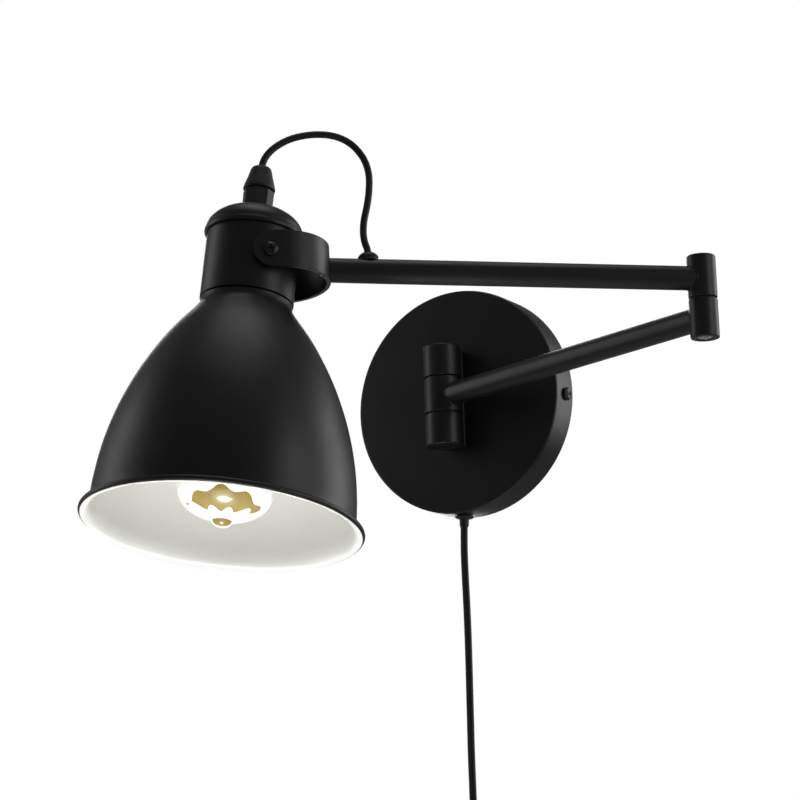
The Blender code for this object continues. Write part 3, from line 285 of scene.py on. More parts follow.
def make_grain_group():
    group = bpy.data.node_groups.new("coat_grain", "ShaderNodeTree")
    face = group.interface
    for label, value in (("Grain Scale", 1500.0), ("Cloud Scale", 30.0), ("Cloud Contrast", 0.5)):
        socket = face.new_socket(name=label, in_out="INPUT", socket_type="NodeSocketFloat")
        socket.default_value = value
    face.new_socket(name="Height", in_out="OUTPUT", socket_type="NodeSocketFloat")
    face.new_socket(name="Cloud", in_out="OUTPUT", socket_type="NodeSocketFloat")
    inside = group.nodes.new("NodeGroupInput").outputs
    outside = group.nodes.new("NodeGroupOutput")
    place = add_node(group, "TexCoord").outputs["Object"]
    grain = add_node(group, "TexNoise", Vector=place, Scale=inside["Grain Scale"], Detail=3.0)
    cloud = add_node(group, "TexNoise", Vector=place, Scale=inside["Cloud Scale"], Detail=4.0)
    half = math_node(group, "MULTIPLY", inside["Cloud Contrast"], 0.5)
    low, high = math_node(group, "SUBTRACT", 0.5, half), math_node(group, "ADD", 0.5, half)
    spread = add_node(group, "MapRange", Value=cloud.outputs["Fac"], From_Min=low, From_Max=high)
    set_inputs(group, outside, Height=grain.outputs["Fac"], Cloud=spread.outputs["Result"])
    return group


GRAIN = make_grain_group()
print("group:", GRAIN.name, "outputs", [s.name for s in GRAIN.interface.items_tree if s.in_out == "OUTPUT"])


# %% [markdown]
# A finish takes two colours and two gloss values, and the cloud mask runs between them. The grain goes
# through a Bump node, whose distance is the real depth of the texture in metres.


# %% The finish builder
def coat(name, colours, roughness, metallic=0.0, grain=1500.0, depth=0.00002, cloud=30.0, contrast=0.5,
         specular=0.5):
    finish = bpy.data.materials.new(name)
    finish.use_nodes = True
    tree = finish.node_tree
    texture = tree.nodes.new("ShaderNodeGroup")
    texture.node_tree = GRAIN
    set_inputs(tree, texture, Grain_Scale=grain, Cloud_Scale=cloud, Cloud_Contrast=contrast)
    mask = texture.outputs["Cloud"]
    tint = add_node(tree, "Mix", Factor=mask, A=(*colours[0], 1.0), B=(*colours[1], 1.0))
    gloss = add_node(tree, "MapRange", Value=mask, To_Min=roughness[0], To_Max=roughness[1])
    bump = add_node(tree, "Bump", Distance=depth, Height=texture.outputs["Height"])
    set_inputs(tree, tree.nodes["Principled BSDF"], Base_Color=tint.outputs["Result"], Metallic=metallic,
               Roughness=gloss.outputs["Result"], Normal=bump.outputs["Normal"], Specular_IOR_Level=specular)
    return finish


# %% Finishes of this lamp
powder_black = coat("powder_black", ((0.0035, 0.0035, 0.0037), (0.0050, 0.0050, 0.0052)), (0.38, 0.46),
                    grain=1700.0, depth=0.00003, specular=0.32)
shade_enamel = coat("shade_enamel", ((0.80, 0.79, 0.755), (0.84, 0.83, 0.80)), (0.32, 0.42),
                    grain=900.0, depth=0.00002, cloud=18.0)
moulded_black = coat("moulded_black", ((0.0055, 0.0055, 0.0057), (0.0080, 0.0080, 0.0082)), (0.46, 0.56),
                     grain=2600.0, depth=0.00003, specular=0.35)
holder_black = coat("holder_black", ((0.020, 0.019, 0.018), (0.034, 0.032, 0.030)), (0.28, 0.38),
                    grain=500.0, depth=0.00001)
screw_black = coat("screw_black", ((0.010, 0.010, 0.0105), (0.022, 0.022, 0.023)), (0.25, 0.38),
                   metallic=0.6, grain=2200.0, depth=0.00001, cloud=160.0)
zinc_steel = coat("zinc_steel", ((0.48, 0.49, 0.50), (0.62, 0.62, 0.60)), (0.24, 0.38), metallic=1.0,
                  grain=1800.0, depth=0.00001, cloud=120.0)
turned_brass = coat("turned_brass", ((0.66, 0.48, 0.22), (0.78, 0.60, 0.30)), (0.22, 0.36), metallic=1.0,
                    grain=1600.0, depth=0.00001, cloud=140.0)
flex_sheath = coat("flex_sheath", ((0.0045, 0.0045, 0.0047), (0.0085, 0.0085, 0.0088)), (0.42, 0.54),
                   grain=2400.0, depth=0.00002, cloud=90.0, specular=0.3)
print("finishes:", ", ".join(sorted(m.name for m in bpy.data.materials)))

# %% [markdown]
# ## The power cord
# A 5 mm twin flex leaves the bush under the canopy and hangs straight down. The lamp shows only its first
# stretch; the rest is put away below: an in-line switch, eight turns in a tied coil, and a two-pin plug.
# The turns are made by a loop: the line goes round and round, while inside the bundle each turn moves on
# by an eighth of a circle, so that the turns lie side by side; the last one runs in the middle.

# %% The power cord's route
CORD_WIDTH = 0.0050
CORD_THICKNESS = 0.0034
HANGING = (
    (-0.0039, -0.0115, -0.0818), (-0.0043, -0.0115, -0.0900), (-0.0046, -0.0115, -0.1000),
    (-0.0046, -0.0114, -0.1150), (-0.0044, -0.0113, -0.1300), (-0.0043, -0.0112, -0.1500),
    (-0.0044, -0.0112, -0.1700), (-0.0046, -0.0113, -0.1900), (-0.0048, -0.0114, -0.2100),
    (-0.0050, -0.0115, -0.2300), (-0.0050, -0.0115, -0.2500), (-0.0050, -0.0115, -0.2690),
)
coil_low, coil_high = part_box("power_cord_coil")
COIL_CENTRE = (coil_low + coil_high) / 2
BUNDLE = (coil_high.y - coil_low.y) / 2
COIL_RADIUS = (coil_high.x - coil_low.x) / 2 - BUNDLE
TURNS = 8
SLOT_RADIUS = BUNDLE - CORD_WIDTH / 2 - 0.0002
JOIN = math.radians(62)
LEAVE = math.radians(90)


def coil_point(angle, start):
    """A point on the wound cord; angle counts from the coil's top, towards the left."""
    turn = (angle - start) / math.tau
    last = min(max((turn - TURNS + 0.9) / 0.75, 0.0), 1.0)
    offset = SLOT_RADIUS * (1 - last * last * (3 - 2 * last))
    slot = math.tau * turn / TURNS
    radius = COIL_RADIUS + offset * math.cos(slot)
    place = Vector((-math.sin(angle) * radius, offset * math.sin(slot), math.cos(angle) * radius))
    return COIL_CENTRE + place


switch_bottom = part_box("switch_shell_back")[0].z
plug_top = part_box("plug_body")[1].z
cord_x, cord_y = HANGING[-1][0], HANGING[-1][1]
route = [Vector(p) for p in HANGING]
route += [Vector((cord_x, cord_y, HANGING[-1][2] - 0.018 * k)) for k in (1, 2)]
route += [Vector((cord_x, cord_y, switch_bottom)), Vector((cord_x - 0.0004, cord_y, switch_bottom - 0.0050))]
route += [Vector((cord_x - 0.0040, cord_y, switch_bottom - 0.0120))]
steps_per_turn = 24
last_angle = LEAVE + TURNS * math.tau
count = round((last_angle - JOIN) / math.tau * steps_per_turn)
route += [coil_point(JOIN + (last_angle - JOIN) * k / count, JOIN) for k in range(count + 1)]
tail_x = COIL_CENTRE.x - COIL_RADIUS
below = coil_low.z
route += [Vector((tail_x, cord_y, below + 0.012)), Vector((tail_x, cord_y, (below + plug_top) / 2))]
route += [Vector((tail_x, cord_y, plug_top))]
cord_line = smooth_line(route, 0.0042)
print("power cord, m:", round(length_of(cord_line), 3), "in", len(cord_line), "rings")


# %% The power cord's mesh
def flat_side(i):
    """Its wide side faces the room as it hangs, and turns inside the switch to bend the easy way round the coil."""
    drop = (HANGING[-1][2] - cord_line[i].z) / (HANGING[-1][2] - switch_bottom)
    turn = min(max(drop, 0.0), 1.0) * math.pi / 2 if i < len(cord_line) // 2 else math.pi / 2
    return Vector((math.cos(turn), math.sin(turn), 0))


power_flex = sweep("power_flex", cord_line, twin_flex_outline(CORD_WIDTH, CORD_THICKNESS), flat_side, flex_sheath)
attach(power_flex, "wall_base")
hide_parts("power_cord", "power_cord_middle", "power_cord_coil", "power_cord_tail")

# %% [markdown]
# ## The jumper lead
# A thinner lead comes up out of the outer arm, loops over and goes down into the cord grip. It has to bend
# when the lamp tilts; here it is drawn once, where it lies at rest.

# %% The jumper lead
LEAD_WIDTH = 0.0042
LEAD_THICKNESS = 0.0035
LEAD_ROUTE = (
    (0.2023, 0.0119), (0.2025, 0.0138), (0.2034, 0.0165), (0.2042, 0.0205), (0.2043, 0.0260),
    (0.2034, 0.0325), (0.2018, 0.0390), (0.2004, 0.0455), (0.1995, 0.0520), (0.1991, 0.0585),
    (0.1997, 0.0647), (0.2017, 0.0710), (0.2052, 0.0765), (0.2095, 0.0808), (0.2150, 0.0839),
    (0.2209, 0.0855), (0.2270, 0.0859), (0.2330, 0.0855), (0.2391, 0.0843), (0.2450, 0.0824),
    (0.2508, 0.0794), (0.2562, 0.0753), (0.2599, 0.0710), (0.2619, 0.0672), (0.2627, 0.0645),
)
lead_points = [BRACKET @ Vector((x, 0, z)) for x, z in LEAD_ROUTE]
lead_line = smooth_line(lead_points, 0.0025)
lead_across = BRACKET.to_3x3() @ Vector((0, 1, 0))
jumper_flex = sweep(
    "jumper_flex", lead_line, twin_flex_outline(LEAD_WIDTH, LEAD_THICKNESS),
    lambda i: (lead_line[min(i + 1, len(lead_line) - 1)] - lead_line[max(i - 1, 0)]).cross(lead_across),
    flex_sheath,
)
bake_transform(jumper_flex)
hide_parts("jumper_lead")
print("jumper lead, mm:", round(1000 * length_of(lead_line), 1))

# %% [markdown]
# ## Turning on a lathe
# Most of the lamp is spun or turned metal, so one helper draws it: an outline of (radius, height) points
# goes once round the axis. `soften` first rounds the outline's corners, as a maker breaks an edge, because
# a perfectly sharp edge never catches the light.


# %% Outline and lathe helpers
def arc(middle, radii, first, last, steps):
    """Points of an ellipse between two angles in degrees; 0 points outwards and 90 up."""
    angles = [math.radians(first + (last - first) * k / steps) for k in range(steps + 1)]
    return [(middle[0] + radii[0] * math.cos(a), middle[1] + radii[1] * math.sin(a)) for a in angles]


def turned(radius, angle, height):
    """The point at a radius and angle round the Z axis."""
    return Vector((radius * math.cos(angle), radius * math.sin(angle), height))


def soften(outline, size, steps=4, closed=False):
    """Rounds each corner; size is in metres, or a list with one size for each point."""
    count = len(outline)
    sizes = size if isinstance(size, (list, tuple)) else [size] * count
    rounded = []
    for i in range(count):
        here = Vector(outline[i])
        if not closed and i in (0, count - 1) or sizes[i] == 0:
            rounded.append(tuple(here))
            continue
        before, after = Vector(outline[i - 1]), Vector(outline[(i + 1) % count])
        reach = min(sizes[i], 0.48 * (before - here).length, 0.48 * (after - here).length)
        start = here + (before - here).normalized() * reach
        end = here + (after - here).normalized() * reach
        for k in range(steps + 1):
            t = k / steps
            rounded.append(tuple(start * (1 - t) ** 2 + here * 2 * t * (1 - t) + end * t * t))
    return rounded


def lathe(name, outline, place, finishes, body, stands_for=(), steps=96, closed=False, finish_at=None, smooth=32):
    """Turns an outline round the Z of place. finish_at(k) is the finish of the strip after outline point k."""
    points, rings = [], []
    for radius, height in outline:
        if radius < 1e-7:
            rings.append([len(points)] * steps)
            points.append(place @ Vector((0, 0, height)))
            continue
        rings.append(list(range(len(points), len(points) + steps)))
        points += [place @ turned(radius, math.tau * k / steps, height) for k in range(steps)]
    faces, finish_of = [], []
    pairs = list(zip(range(len(rings)), range(1, len(rings))))
    if closed:
        pairs.append((len(rings) - 1, 0))
    for a, b in pairs:
        for k in range(steps):
            n = (k + 1) % steps
            corners = (rings[a][k], rings[b][k], rings[b][n], rings[a][n])
            corners = tuple(dict.fromkeys(corners))
            if len(corners) > 2:
                faces.append(corners)
                finish_of.append(finish_at(a) if finish_at else 0)
    piece = new_piece(name, points, faces, finishes, finish_of, smooth)
    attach(piece, body)
    if stands_for:
        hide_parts(*stands_for)
    return piece


def laid(place, towards):
    """The same place with its Z turned to X or -Y."""
    turns = {"+X": Matrix.Rotation(math.pi / 2, 4, "Y"), "-X": Matrix.Rotation(-math.pi / 2, 4, "Y"),
             "-Y": Matrix.Rotation(math.pi / 2, 4, "X"), "+Y": Matrix.Rotation(-math.pi / 2, 4, "X")}
    return place @ turns[towards]


# %% [markdown]
# ## The canopy
# A pressed steel cover, 150 mm across and 23 mm deep, open towards the wall. Its face runs into its rim
# over a small bend, and the cut edge at the wall is folded slightly in. A lathe outline that comes back
# along the inside gives the real wall, so it looks right from behind as well.

# %% Canopy
canopy_low, canopy_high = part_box("canopy")
CANOPY_RADIUS = (canopy_high.x - canopy_low.x) / 2
CANOPY_FRONT = -canopy_low.y
CANOPY_BACK = -canopy_high.y
SHEET = 0.0012
CENTRE_HOLE = 0.0036
outline = [(CENTRE_HOLE, CANOPY_FRONT), (CANOPY_RADIUS, CANOPY_FRONT), (CANOPY_RADIUS, CANOPY_BACK)]
outline += [(CANOPY_RADIUS - SHEET, CANOPY_BACK), (CANOPY_RADIUS - SHEET, CANOPY_FRONT - SHEET)]
outline += [(CENTRE_HOLE, CANOPY_FRONT - SHEET)]
outline = soften(outline, [0, 0.0021, 0.0004, 0.0004, 0.0012, 0], steps=6)
lathe("canopy_cover", outline, laid(CANOPY, "-Y"), [powder_black], "wall_base", ["canopy"], 160, closed=True)
print("canopy, mm:", round(2000 * CANOPY_RADIUS, 1), "x", round(1000 * (CANOPY_FRONT - CANOPY_BACK), 1))

# %% [markdown]
# ## Screws
# Pan-head screws with a crossed recess close the canopy, hold the bracket and carry the head. The head is
# turned, and the recess is cut as two tapered slots with a Boolean, as the punch leaves it.


# %% Screw helper
def crossed_screw(name, place, head_radius, head_height, body, stands_for, finish, shank=0.0, shank_radius=0.0019):
    """A pan-head screw whose seat is at the origin of place."""
    dome = arc((0, 0.30 * head_height), (head_radius, 0.70 * head_height), 90, 8, 8)
    dome[0] = (0.0, head_height)
    outline = dome + [(head_radius, 0.0), (shank_radius, 0.0), (shank_radius, -shank), (0.0, -shank)]
    outline = soften(outline, [0] * 9 + [0.0003, 0, 0, 0], steps=3)
    screw = lathe(name, outline, Matrix.Identity(4), [finish], body, stands_for, 40)
    slot_reach, slot_half, slot_depth = head_radius * 0.575, head_radius * 0.12, head_height * 0.55
    for k in range(2):
        turn = Matrix.Rotation(math.pi / 2 * k + 0.35, 4, "Z")
        corners = []
        for x, y, z in block_points((-slot_reach, -slot_half, -slot_depth), (slot_reach, slot_half, slot_depth)):
            if z < 0:
                x, y = 0.55 * x, 0.7 * y
            corners.append(tuple(turn @ Vector((x, y, z + head_height * 1.02))))
        slot_mesh = bpy.data.meshes.new(f"{name}_slot_{k}")
        slot_mesh.from_pydata(corners, [], BLOCK_FACES)
        slot = bpy.data.objects.new(slot_mesh.name, slot_mesh)
        bpy.context.scene.collection.objects.link(slot)
        bpy.context.view_layer.update()
        cut = screw.modifiers.new("slot", "BOOLEAN")
        cut.operation = "DIFFERENCE"
        cut.solver = "EXACT"
        cut.object = slot
        graph = bpy.context.evaluated_depsgraph_get()
        cut_mesh = bpy.data.meshes.new_from_object(screw.evaluated_get(graph))
        screw.modifiers.clear()
        screw.data = cut_mesh
        bpy.data.objects.remove(slot, do_unlink=True)
    screw.data.shade_smooth()
    screw.data.set_sharp_from_angle(angle=math.radians(35))
    screw.data.transform(place)
    return screw


# %% Canopy side screws
SIDE_SCREW_DEPTH = 0.0100
for side, towards in ((1, "+X"), (-1, "-X")):
    node = "canopy_screw_right" if side > 0 else "canopy_screw_left"
    place = CANOPY @ Matrix.Translation((side * (CANOPY_RADIUS + 0.0003), -SIDE_SCREW_DEPTH, 0))
    crossed_screw(node.replace("screw", "side_screw"), laid(place, towards), 0.0044, 0.0026,
                  "wall_base", [node], screw_black, shank=0.0070)

# %% [markdown]
# ## The cord's bush
# A small bush grips the flex in the canopy's lower edge. It is one turned outline: a flat flange under the
# edge, then a thin lip that follows the flex down.

# %% Bush
BUSH = CANOPY @ Matrix.Translation((0, -0.0115, -CANOPY_RADIUS))
outline = [(0.0016, 0.0140), (0.0038, 0.0140), (0.0046, 0.0130), (0.0046, -0.0004), (0.0062, -0.0004)]
outline += [(0.0062, -0.0014), (0.0050, -0.0022), (0.0032, -0.0024), (0.0031, -0.0062), (0.0028, -0.0076)]
outline += [(0.0024, -0.0062), (0.0016, -0.0060)]
bush = lathe("flex_bush", soften(outline, 0.0003, 3, closed=True), BUSH, [moulded_black], "wall_base",
             ["cord_bush"], 48, closed=True)

# %% [markdown]
# ## The wall knuckle
# Three short cylinders stand on one upright pivot: the fork's upper and lower knuckles, and the inner
# arm's own knuckle between them. Each has a broken edge, so the seams read as fine dark lines. The fork's
# yoke and stubs are blocks with rounded edges, close behind.

# %% Fork knuckles
KNUCKLE_RADIUS = 0.01225
PIVOT = Matrix.Translation(WALL_PIVOT)
middle_low, middle_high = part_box("inner_arm_knuckle")
fork_low, fork_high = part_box("wall_fork")
SEAM = 0.0012
upper_from = middle_high.z + SEAM
lower_to = middle_low.z - SEAM
for name, low, high, face in (
    ("fork_knuckle_upper", upper_from, fork_high.z, 1),
    ("fork_knuckle_lower", fork_low.z, lower_to, -1),
):
    outline = [(0.0, low), (KNUCKLE_RADIUS, low), (KNUCKLE_RADIUS, high), (0.0, high)]
    if face > 0:
        outline[-1:] = [(0.0078, high), (0.0075, high - 0.0016), (0.0, high - 0.0016)]
        corner = [0, 0.0005, 0.0014, 0.0002, 0, 0]
    else:
        outline[:1] = [(0.0, low + 0.0016), (0.0075, low + 0.0016), (0.0078, low)]
        corner = [0, 0, 0.0002, 0.0014, 0.0005, 0]
    lathe(name, soften(outline, corner, 5), PIVOT, [powder_black], "wall_base", (), 96)


# %% Fork yoke
def rounded_block(name, low, high, finish, body, edge=0.0008):
    """A block between two corners, its edges rounded with a Bevel."""
    block = new_piece(name, block_points(low, high), BLOCK_FACES, [finish], smooth=60)
    bevel = block.modifiers.new("edges", "BEVEL")
    bevel.width = edge
    bevel.segments = 3
    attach(block, body)
    return block


YOKE_HALF = 0.0072
yoke_front = -CANOPY_FRONT - 0.0035
fork_yoke = rounded_block("fork_yoke", (-YOKE_HALF, yoke_front, fork_low.z + 0.0009),
                          (YOKE_HALF, -CANOPY_FRONT - 0.0003, fork_high.z - 0.0009), powder_black, "wall_base")
for name, low, high in (("fork_stub_upper", upper_from, fork_high.z), ("fork_stub_lower", fork_low.z, lower_to)):
    rounded_block(name, (-0.0070, WALL_PIVOT.y, low + 0.0006), (0.0070, yoke_front + 0.001, high - 0.0006),
                  powder_black, "wall_base", 0.0006)
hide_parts("wall_fork")

# %% Middle knuckle
outline = [(0.0, middle_low.z), (KNUCKLE_RADIUS, middle_low.z), (KNUCKLE_RADIUS, middle_high.z), (0.0, middle_high.z)]
lathe("arm_knuckle", soften(outline, [0, 0.0005, 0.0005, 0], 4), PIVOT, [powder_black], "inner_arm",
      ["inner_arm_knuckle"], 96)

# %% [markdown]
# ## Arms and elbow
# Each arm is a 14.6 mm tube that runs into the knuckle it is welded to. The elbow is two short cylinders
# on one screw, with a thin washer in the seam; a rounded top and a recessed screw underneath finish it.

# %% Arm tubes
TUBE_RADIUS = 0.0073
ELBOW_RADIUS = 0.00876
BRACKET_END = HEAD_REACH - 0.0463
lathe("inner_tube", [(TUBE_RADIUS, KNUCKLE_RADIUS * 0.7), (TUBE_RADIUS, INNER_LENGTH - 0.005)],
      laid(INNER, "+X"), [powder_black], "inner_arm", ["inner_arm_tube"], 64)
outline = [(TUBE_RADIUS, 0.005), (TUBE_RADIUS, BRACKET_END + 0.0006), (0.0058, BRACKET_END + 0.0006), (0.0058, 0.005)]
lathe("outer_tube", outline, laid(OUTER, "+X"), [powder_black], "outer_arm", ["outer_arm_tube"], 64,
      closed=True)


# %% [markdown]
# Where a tube meets a round knuckle there is a thin fillet of weld under the coat. A ring of short strips
# follows the seam: each point of the tube is carried along the arm until it touches the knuckle.


# %% Weld fillets
def weld(name, place, tube_radius, knuckle_radius, body, bead=0.0010):
    """A small bead along the line where a tube along X meets an upright round knuckle at the origin."""
    points, faces = [], []
    around, across = 72, 6
    for k in range(around):
        angle = math.tau * k / around
        y, z = tube_radius * math.cos(angle), tube_radius * math.sin(angle)
        x = math.sqrt(max(knuckle_radius**2 - y**2, 0.0))
        outward = Vector((0, math.cos(angle), math.sin(angle)))
        for j in range(across):
            turn = math.radians(-35 + 160 * j / (across - 1))
            offset = Vector((bead * math.cos(turn), 0, 0)) + outward * bead * 0.7 * math.sin(turn)
            points.append(place @ (Vector((x, y, z)) + offset * 0.8))
    for k in range(around):
        for j in range(across - 1):
            a, b = k * across + j, (k + 1) % around * across + j
            faces.append((a, b, b + 1, a + 1))
    piece = new_piece(name, points, faces, [powder_black], smooth=80)
    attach(piece, body)
    return piece


weld("weld_wall_knuckle", INNER, TUBE_RADIUS, KNUCKLE_RADIUS, "inner_arm")
elbow_inner = INNER @ Matrix.Translation((INNER_LENGTH, 0, 0)) @ Matrix.Rotation(math.pi, 4, "Z")
weld("weld_elbow_inner", elbow_inner, TUBE_RADIUS, ELBOW_RADIUS, "inner_arm", 0.0007)
weld("weld_elbow_outer", OUTER, TUBE_RADIUS, ELBOW_RADIUS, "outer_arm", 0.0007)

# %% Elbow knuckles
ELBOW_PLACE = Matrix.Translation(ELBOW)
low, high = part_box("elbow_lower_knuckle")
outline = [(0.0, low.z + 0.0030), (0.0050, low.z + 0.0030), (0.0053, low.z), (ELBOW_RADIUS, low.z)]
outline += [(ELBOW_RADIUS, high.z), (0.0, high.z)]
lathe("elbow_lower", soften(outline, [0, 0.0002, 0.0002, 0.0008, 0.0006, 0], 5), ELBOW_PLACE,
      [powder_black], "inner_arm", ["elbow_lower_knuckle"], 96)
low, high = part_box("elbow_upper_knuckle")
outline = [(0.0, low.z), (ELBOW_RADIUS, low.z), (ELBOW_RADIUS, high.z), (0.0, high.z)]
lathe("elbow_upper", soften(outline, [0, 0.0006, 0.0016, 0], 6), ELBOW_PLACE, [powder_black], "outer_arm",
      ["elbow_upper_knuckle"], 96)

# %% Elbow screw
screw_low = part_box("elbow_pivot_screw")[0].z
socket_screw = [(0.0, screw_low + 0.0022), (0.0024, screw_low + 0.0022), (0.0026, screw_low), (0.0047, screw_low)]
socket_screw += [(0.0048, screw_low + 0.0006), (0.0048, screw_low + 0.0040), (0.0, screw_low + 0.0040)]
lathe("elbow_screw", soften(socket_screw, [0, 0, 0.0002, 0.0004, 0, 0, 0], 3), ELBOW_PLACE,
      [zinc_steel], "inner_arm", ["elbow_pivot_screw"], 48)

# %% [markdown]
# ## Grommet, bracket and its screw
# The lead's grommet is a low dome over a groove. The bracket is a strip 22 mm wide, bent into a horseshoe
# round the lamp's neck: its section is swept round the bend, and the section narrows over the last stretch
# as a half circle does, which rounds both ears.

# %% Grommet
GROMMET_REACH = 0.2023
crown = TUBE_RADIUS + 0.0040
outline = [(0.0020, crown - 0.0004), (0.0030, crown), (0.0043, crown - 0.0007), (0.0056, crown - 0.0019)]
outline += [(0.0062, crown - 0.0031), (0.0056, crown - 0.0036), (0.0056, crown - 0.0042), (0.0062, crown - 0.0046)]
outline += [(0.0062, TUBE_RADIUS - 0.0016), (0.0020, TUBE_RADIUS - 0.0016)]
grommet_place = BRACKET @ Matrix.Translation((GROMMET_REACH, 0, 0))
lathe("lead_dome", soften(outline, 0.0004, 3, closed=True), grommet_place, [moulded_black], "outer_arm",
      ["lead_grommet"], 56, closed=True)

# %% Horseshoe bracket
STRIP_WIDTH = 0.0222
STRIP_RAISED = 0.0011
STRIP_THICKNESS = 0.0025
EAR_CENTRE = TILT_REACH
EAR_REACH = 0.0100
BEND_MIDDLE = 0.0310 - STRIP_THICKNESS / 2
BEND_CENTRE = BRACKET_END + 0.0310


def strip_station(travel, straight, bend):
    """Place and outward direction on the horseshoe's middle line, travelling from the near ear to the far one."""
    if travel < straight:
        return Vector((BEND_CENTRE + straight - travel, BEND_MIDDLE, 0)), Vector((0, 1, 0))
    if travel < straight + bend:
        angle = math.pi / 2 + (travel - straight) / BEND_MIDDLE
        outward = Vector((math.cos(angle), math.sin(angle), 0))
        return Vector((BEND_CENTRE, 0, 0)) + outward * BEND_MIDDLE, outward
    beyond = travel - straight - bend
    return Vector((BEND_CENTRE + beyond, -BEND_MIDDLE, 0)), Vector((0, -1, 0))


def horseshoe():
    half = STRIP_WIDTH / 2
    straight = EAR_CENTRE + EAR_REACH - BEND_CENTRE
    bend = math.pi * BEND_MIDDLE
    whole = 2 * straight + bend
    stations = [half * (1 - math.cos(math.pi / 2 * k / 12)) for k in range(13)]
    stations += [half + (whole - STRIP_WIDTH) * k / 64 for k in range(1, 65)]
    stations += [whole - s for s in reversed(stations[:12])]
    points, faces = [], []
    section = [(-1, 0), (-1, 1), (1, 1), (1, 0), (1, -1), (-1, -1)]
    for travel in stations:
        place, outward = strip_station(travel, straight, bend)
        to_end = min(travel, whole - travel)
        height = half
        if to_end < half:
            height = math.sqrt(max(half**2 - (half - to_end) ** 2, 0.0))
        height = max(height, 0.0002)
        for side, up in section:
            rise = Vector((0, 0, up * height + STRIP_RAISED))
            points.append(place + outward * side * STRIP_THICKNESS / 2 + rise)
    count = len(section)
    for i in range(len(stations) - 1):
        for k in range(count):
            a, b = i * count + k, i * count + (k + 1) % count
            faces.append((a, a + count, b + count, b))
    faces.append(tuple(range(count)))
    last = (len(stations) - 1) * count
    faces.append(tuple(range(last + count - 1, last - 1, -1)))
    return [BRACKET @ p for p in points], faces


strip_points, strip_faces = horseshoe()
bracket = new_piece("horseshoe_strip", strip_points, strip_faces, [powder_black], smooth=40)
edges = bracket.modifiers.new("edges", "BEVEL")
edges.width = 0.0005
edges.segments = 3
edges.angle_limit = math.radians(45)
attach(bracket, "outer_arm")
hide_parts("horseshoe_bracket")
print("bracket, mm: ends", round(1000 * (EAR_CENTRE + EAR_REACH - BRACKET_END), 1), "beyond the arm")

# %% Bracket screw and toothed washer
seat = BRACKET_END + STRIP_THICKNESS + 0.0004 + 0.0012
base_place = laid(BRACKET @ Matrix.Translation((seat, 0, 0)), "+X")
crossed_screw("bracket_bolt", base_place, 0.0040, 0.0026, "outer_arm", ["bracket_screw"], zinc_steel,
              shank=0.0125)


# %% Washer teeth
def toothed_ring(name, place, inner, outer, thickness, teeth, finish, body, stands_for):
    """A flat ring whose outside is cut into small twisted teeth."""
    sections = []
    for k in range(teeth * 4):
        angle = math.tau * k / (teeth * 4)
        tooth = k % 4 < 2
        reach = outer if tooth else outer * 0.84
        twist = (thickness * 0.5 if k % 4 == 0 else -thickness * 0.5) if tooth else 0.0
        section = ((inner, 0), (reach, twist), (reach, thickness + twist), (inner, thickness))
        sections.append([place @ turned(radius, angle, z) for radius, z in section])
    piece = section_ring(name, sections, finish, 25)
    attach(piece, body)
    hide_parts(*stands_for)


washer_place = laid(BRACKET @ Matrix.Translation((seat - 0.0009, 0, 0)), "+X")
toothed_ring("star_washer", washer_place, 0.0022, 0.0050, 0.0006, 12, zinc_steel, "outer_arm",
             ["toothed_washer"])

# %% Trunnion screws
BRACKET_OUTER = 0.0310
for side, name in ((1, "near"), (-1, "far")):
    place = HEAD @ Matrix.Translation((-TRUNNION_OFFSET, side * (BRACKET_OUTER + 0.0003), TRUNNION_RISE))
    crossed_screw(f"trunnion_{name}", laid(place, "+Y" if side > 0 else "-Y"), 0.0042, 0.0027, "head",
                  [f"trunnion_screw_{name}"], screw_black, shank=0.0100, shank_radius=0.0022)

# %% [markdown]
# ## The head's neck
# A straight tube holds the lamp holder. A spun dome closes its top, with a small bead round its edge.
# Under the neck a fine light line shows where its rolled edge meets the collar.

# %% Neck housing
NECK_RADIUS = 0.0272
NECK_TOP = 0.0225
NECK_BOTTOM = -0.0215
outline = [(NECK_RADIUS - 0.0012, NECK_TOP), (NECK_RADIUS, NECK_TOP), (NECK_RADIUS, NECK_BOTTOM)]
outline += [(NECK_RADIUS - 0.0012, NECK_BOTTOM)]
lathe("neck_tube", soften(outline, 0.0004, 4, closed=True), HEAD, [powder_black], "head", ["neck_housing"],
      128, closed=True)

# %% Neck cap
CAP_RADIUS = 0.0284
CAP_BEAD_TOP = 0.0219
CAP_RIM = 0.0191
CAP_TOP = 0.0376
CAP_WALL = 0.0009
cap_rise = CAP_TOP - CAP_BEAD_TOP
outer_dome = arc((0, CAP_BEAD_TOP), (CAP_RADIUS, cap_rise), 80, 0, 18)
inner_dome = arc((0, CAP_BEAD_TOP), (CAP_RADIUS - CAP_WALL, cap_rise - CAP_WALL), 80, 0, 18)
bead = [(CAP_RADIUS + 0.0001, CAP_BEAD_TOP - 0.0002), (CAP_RADIUS + 0.0005, CAP_BEAD_TOP - 0.0008)]
bead += [(CAP_RADIUS + 0.0005, CAP_RIM + 0.0007), (CAP_RADIUS + 0.0001, CAP_RIM), (NECK_RADIUS + 0.0002, CAP_RIM)]
outline = [(0.0050, CAP_TOP)] + outer_dome[:-1] + bead + [(NECK_RADIUS + 0.0002, CAP_BEAD_TOP)]
outline += inner_dome[::-1] + [(0.0050, CAP_TOP - CAP_WALL)]
lathe("neck_dome", outline, HEAD, [powder_black], "head", ["neck_cap"], 128, closed=True, smooth=40)

# %% [markdown]
# ## Cord grip
# The grip is two mouldings: a body with flats for the fingers, and a collet that narrows round the lead.
# The flats come from turning with few steps and rounding the corners, the collet from a soft outline.

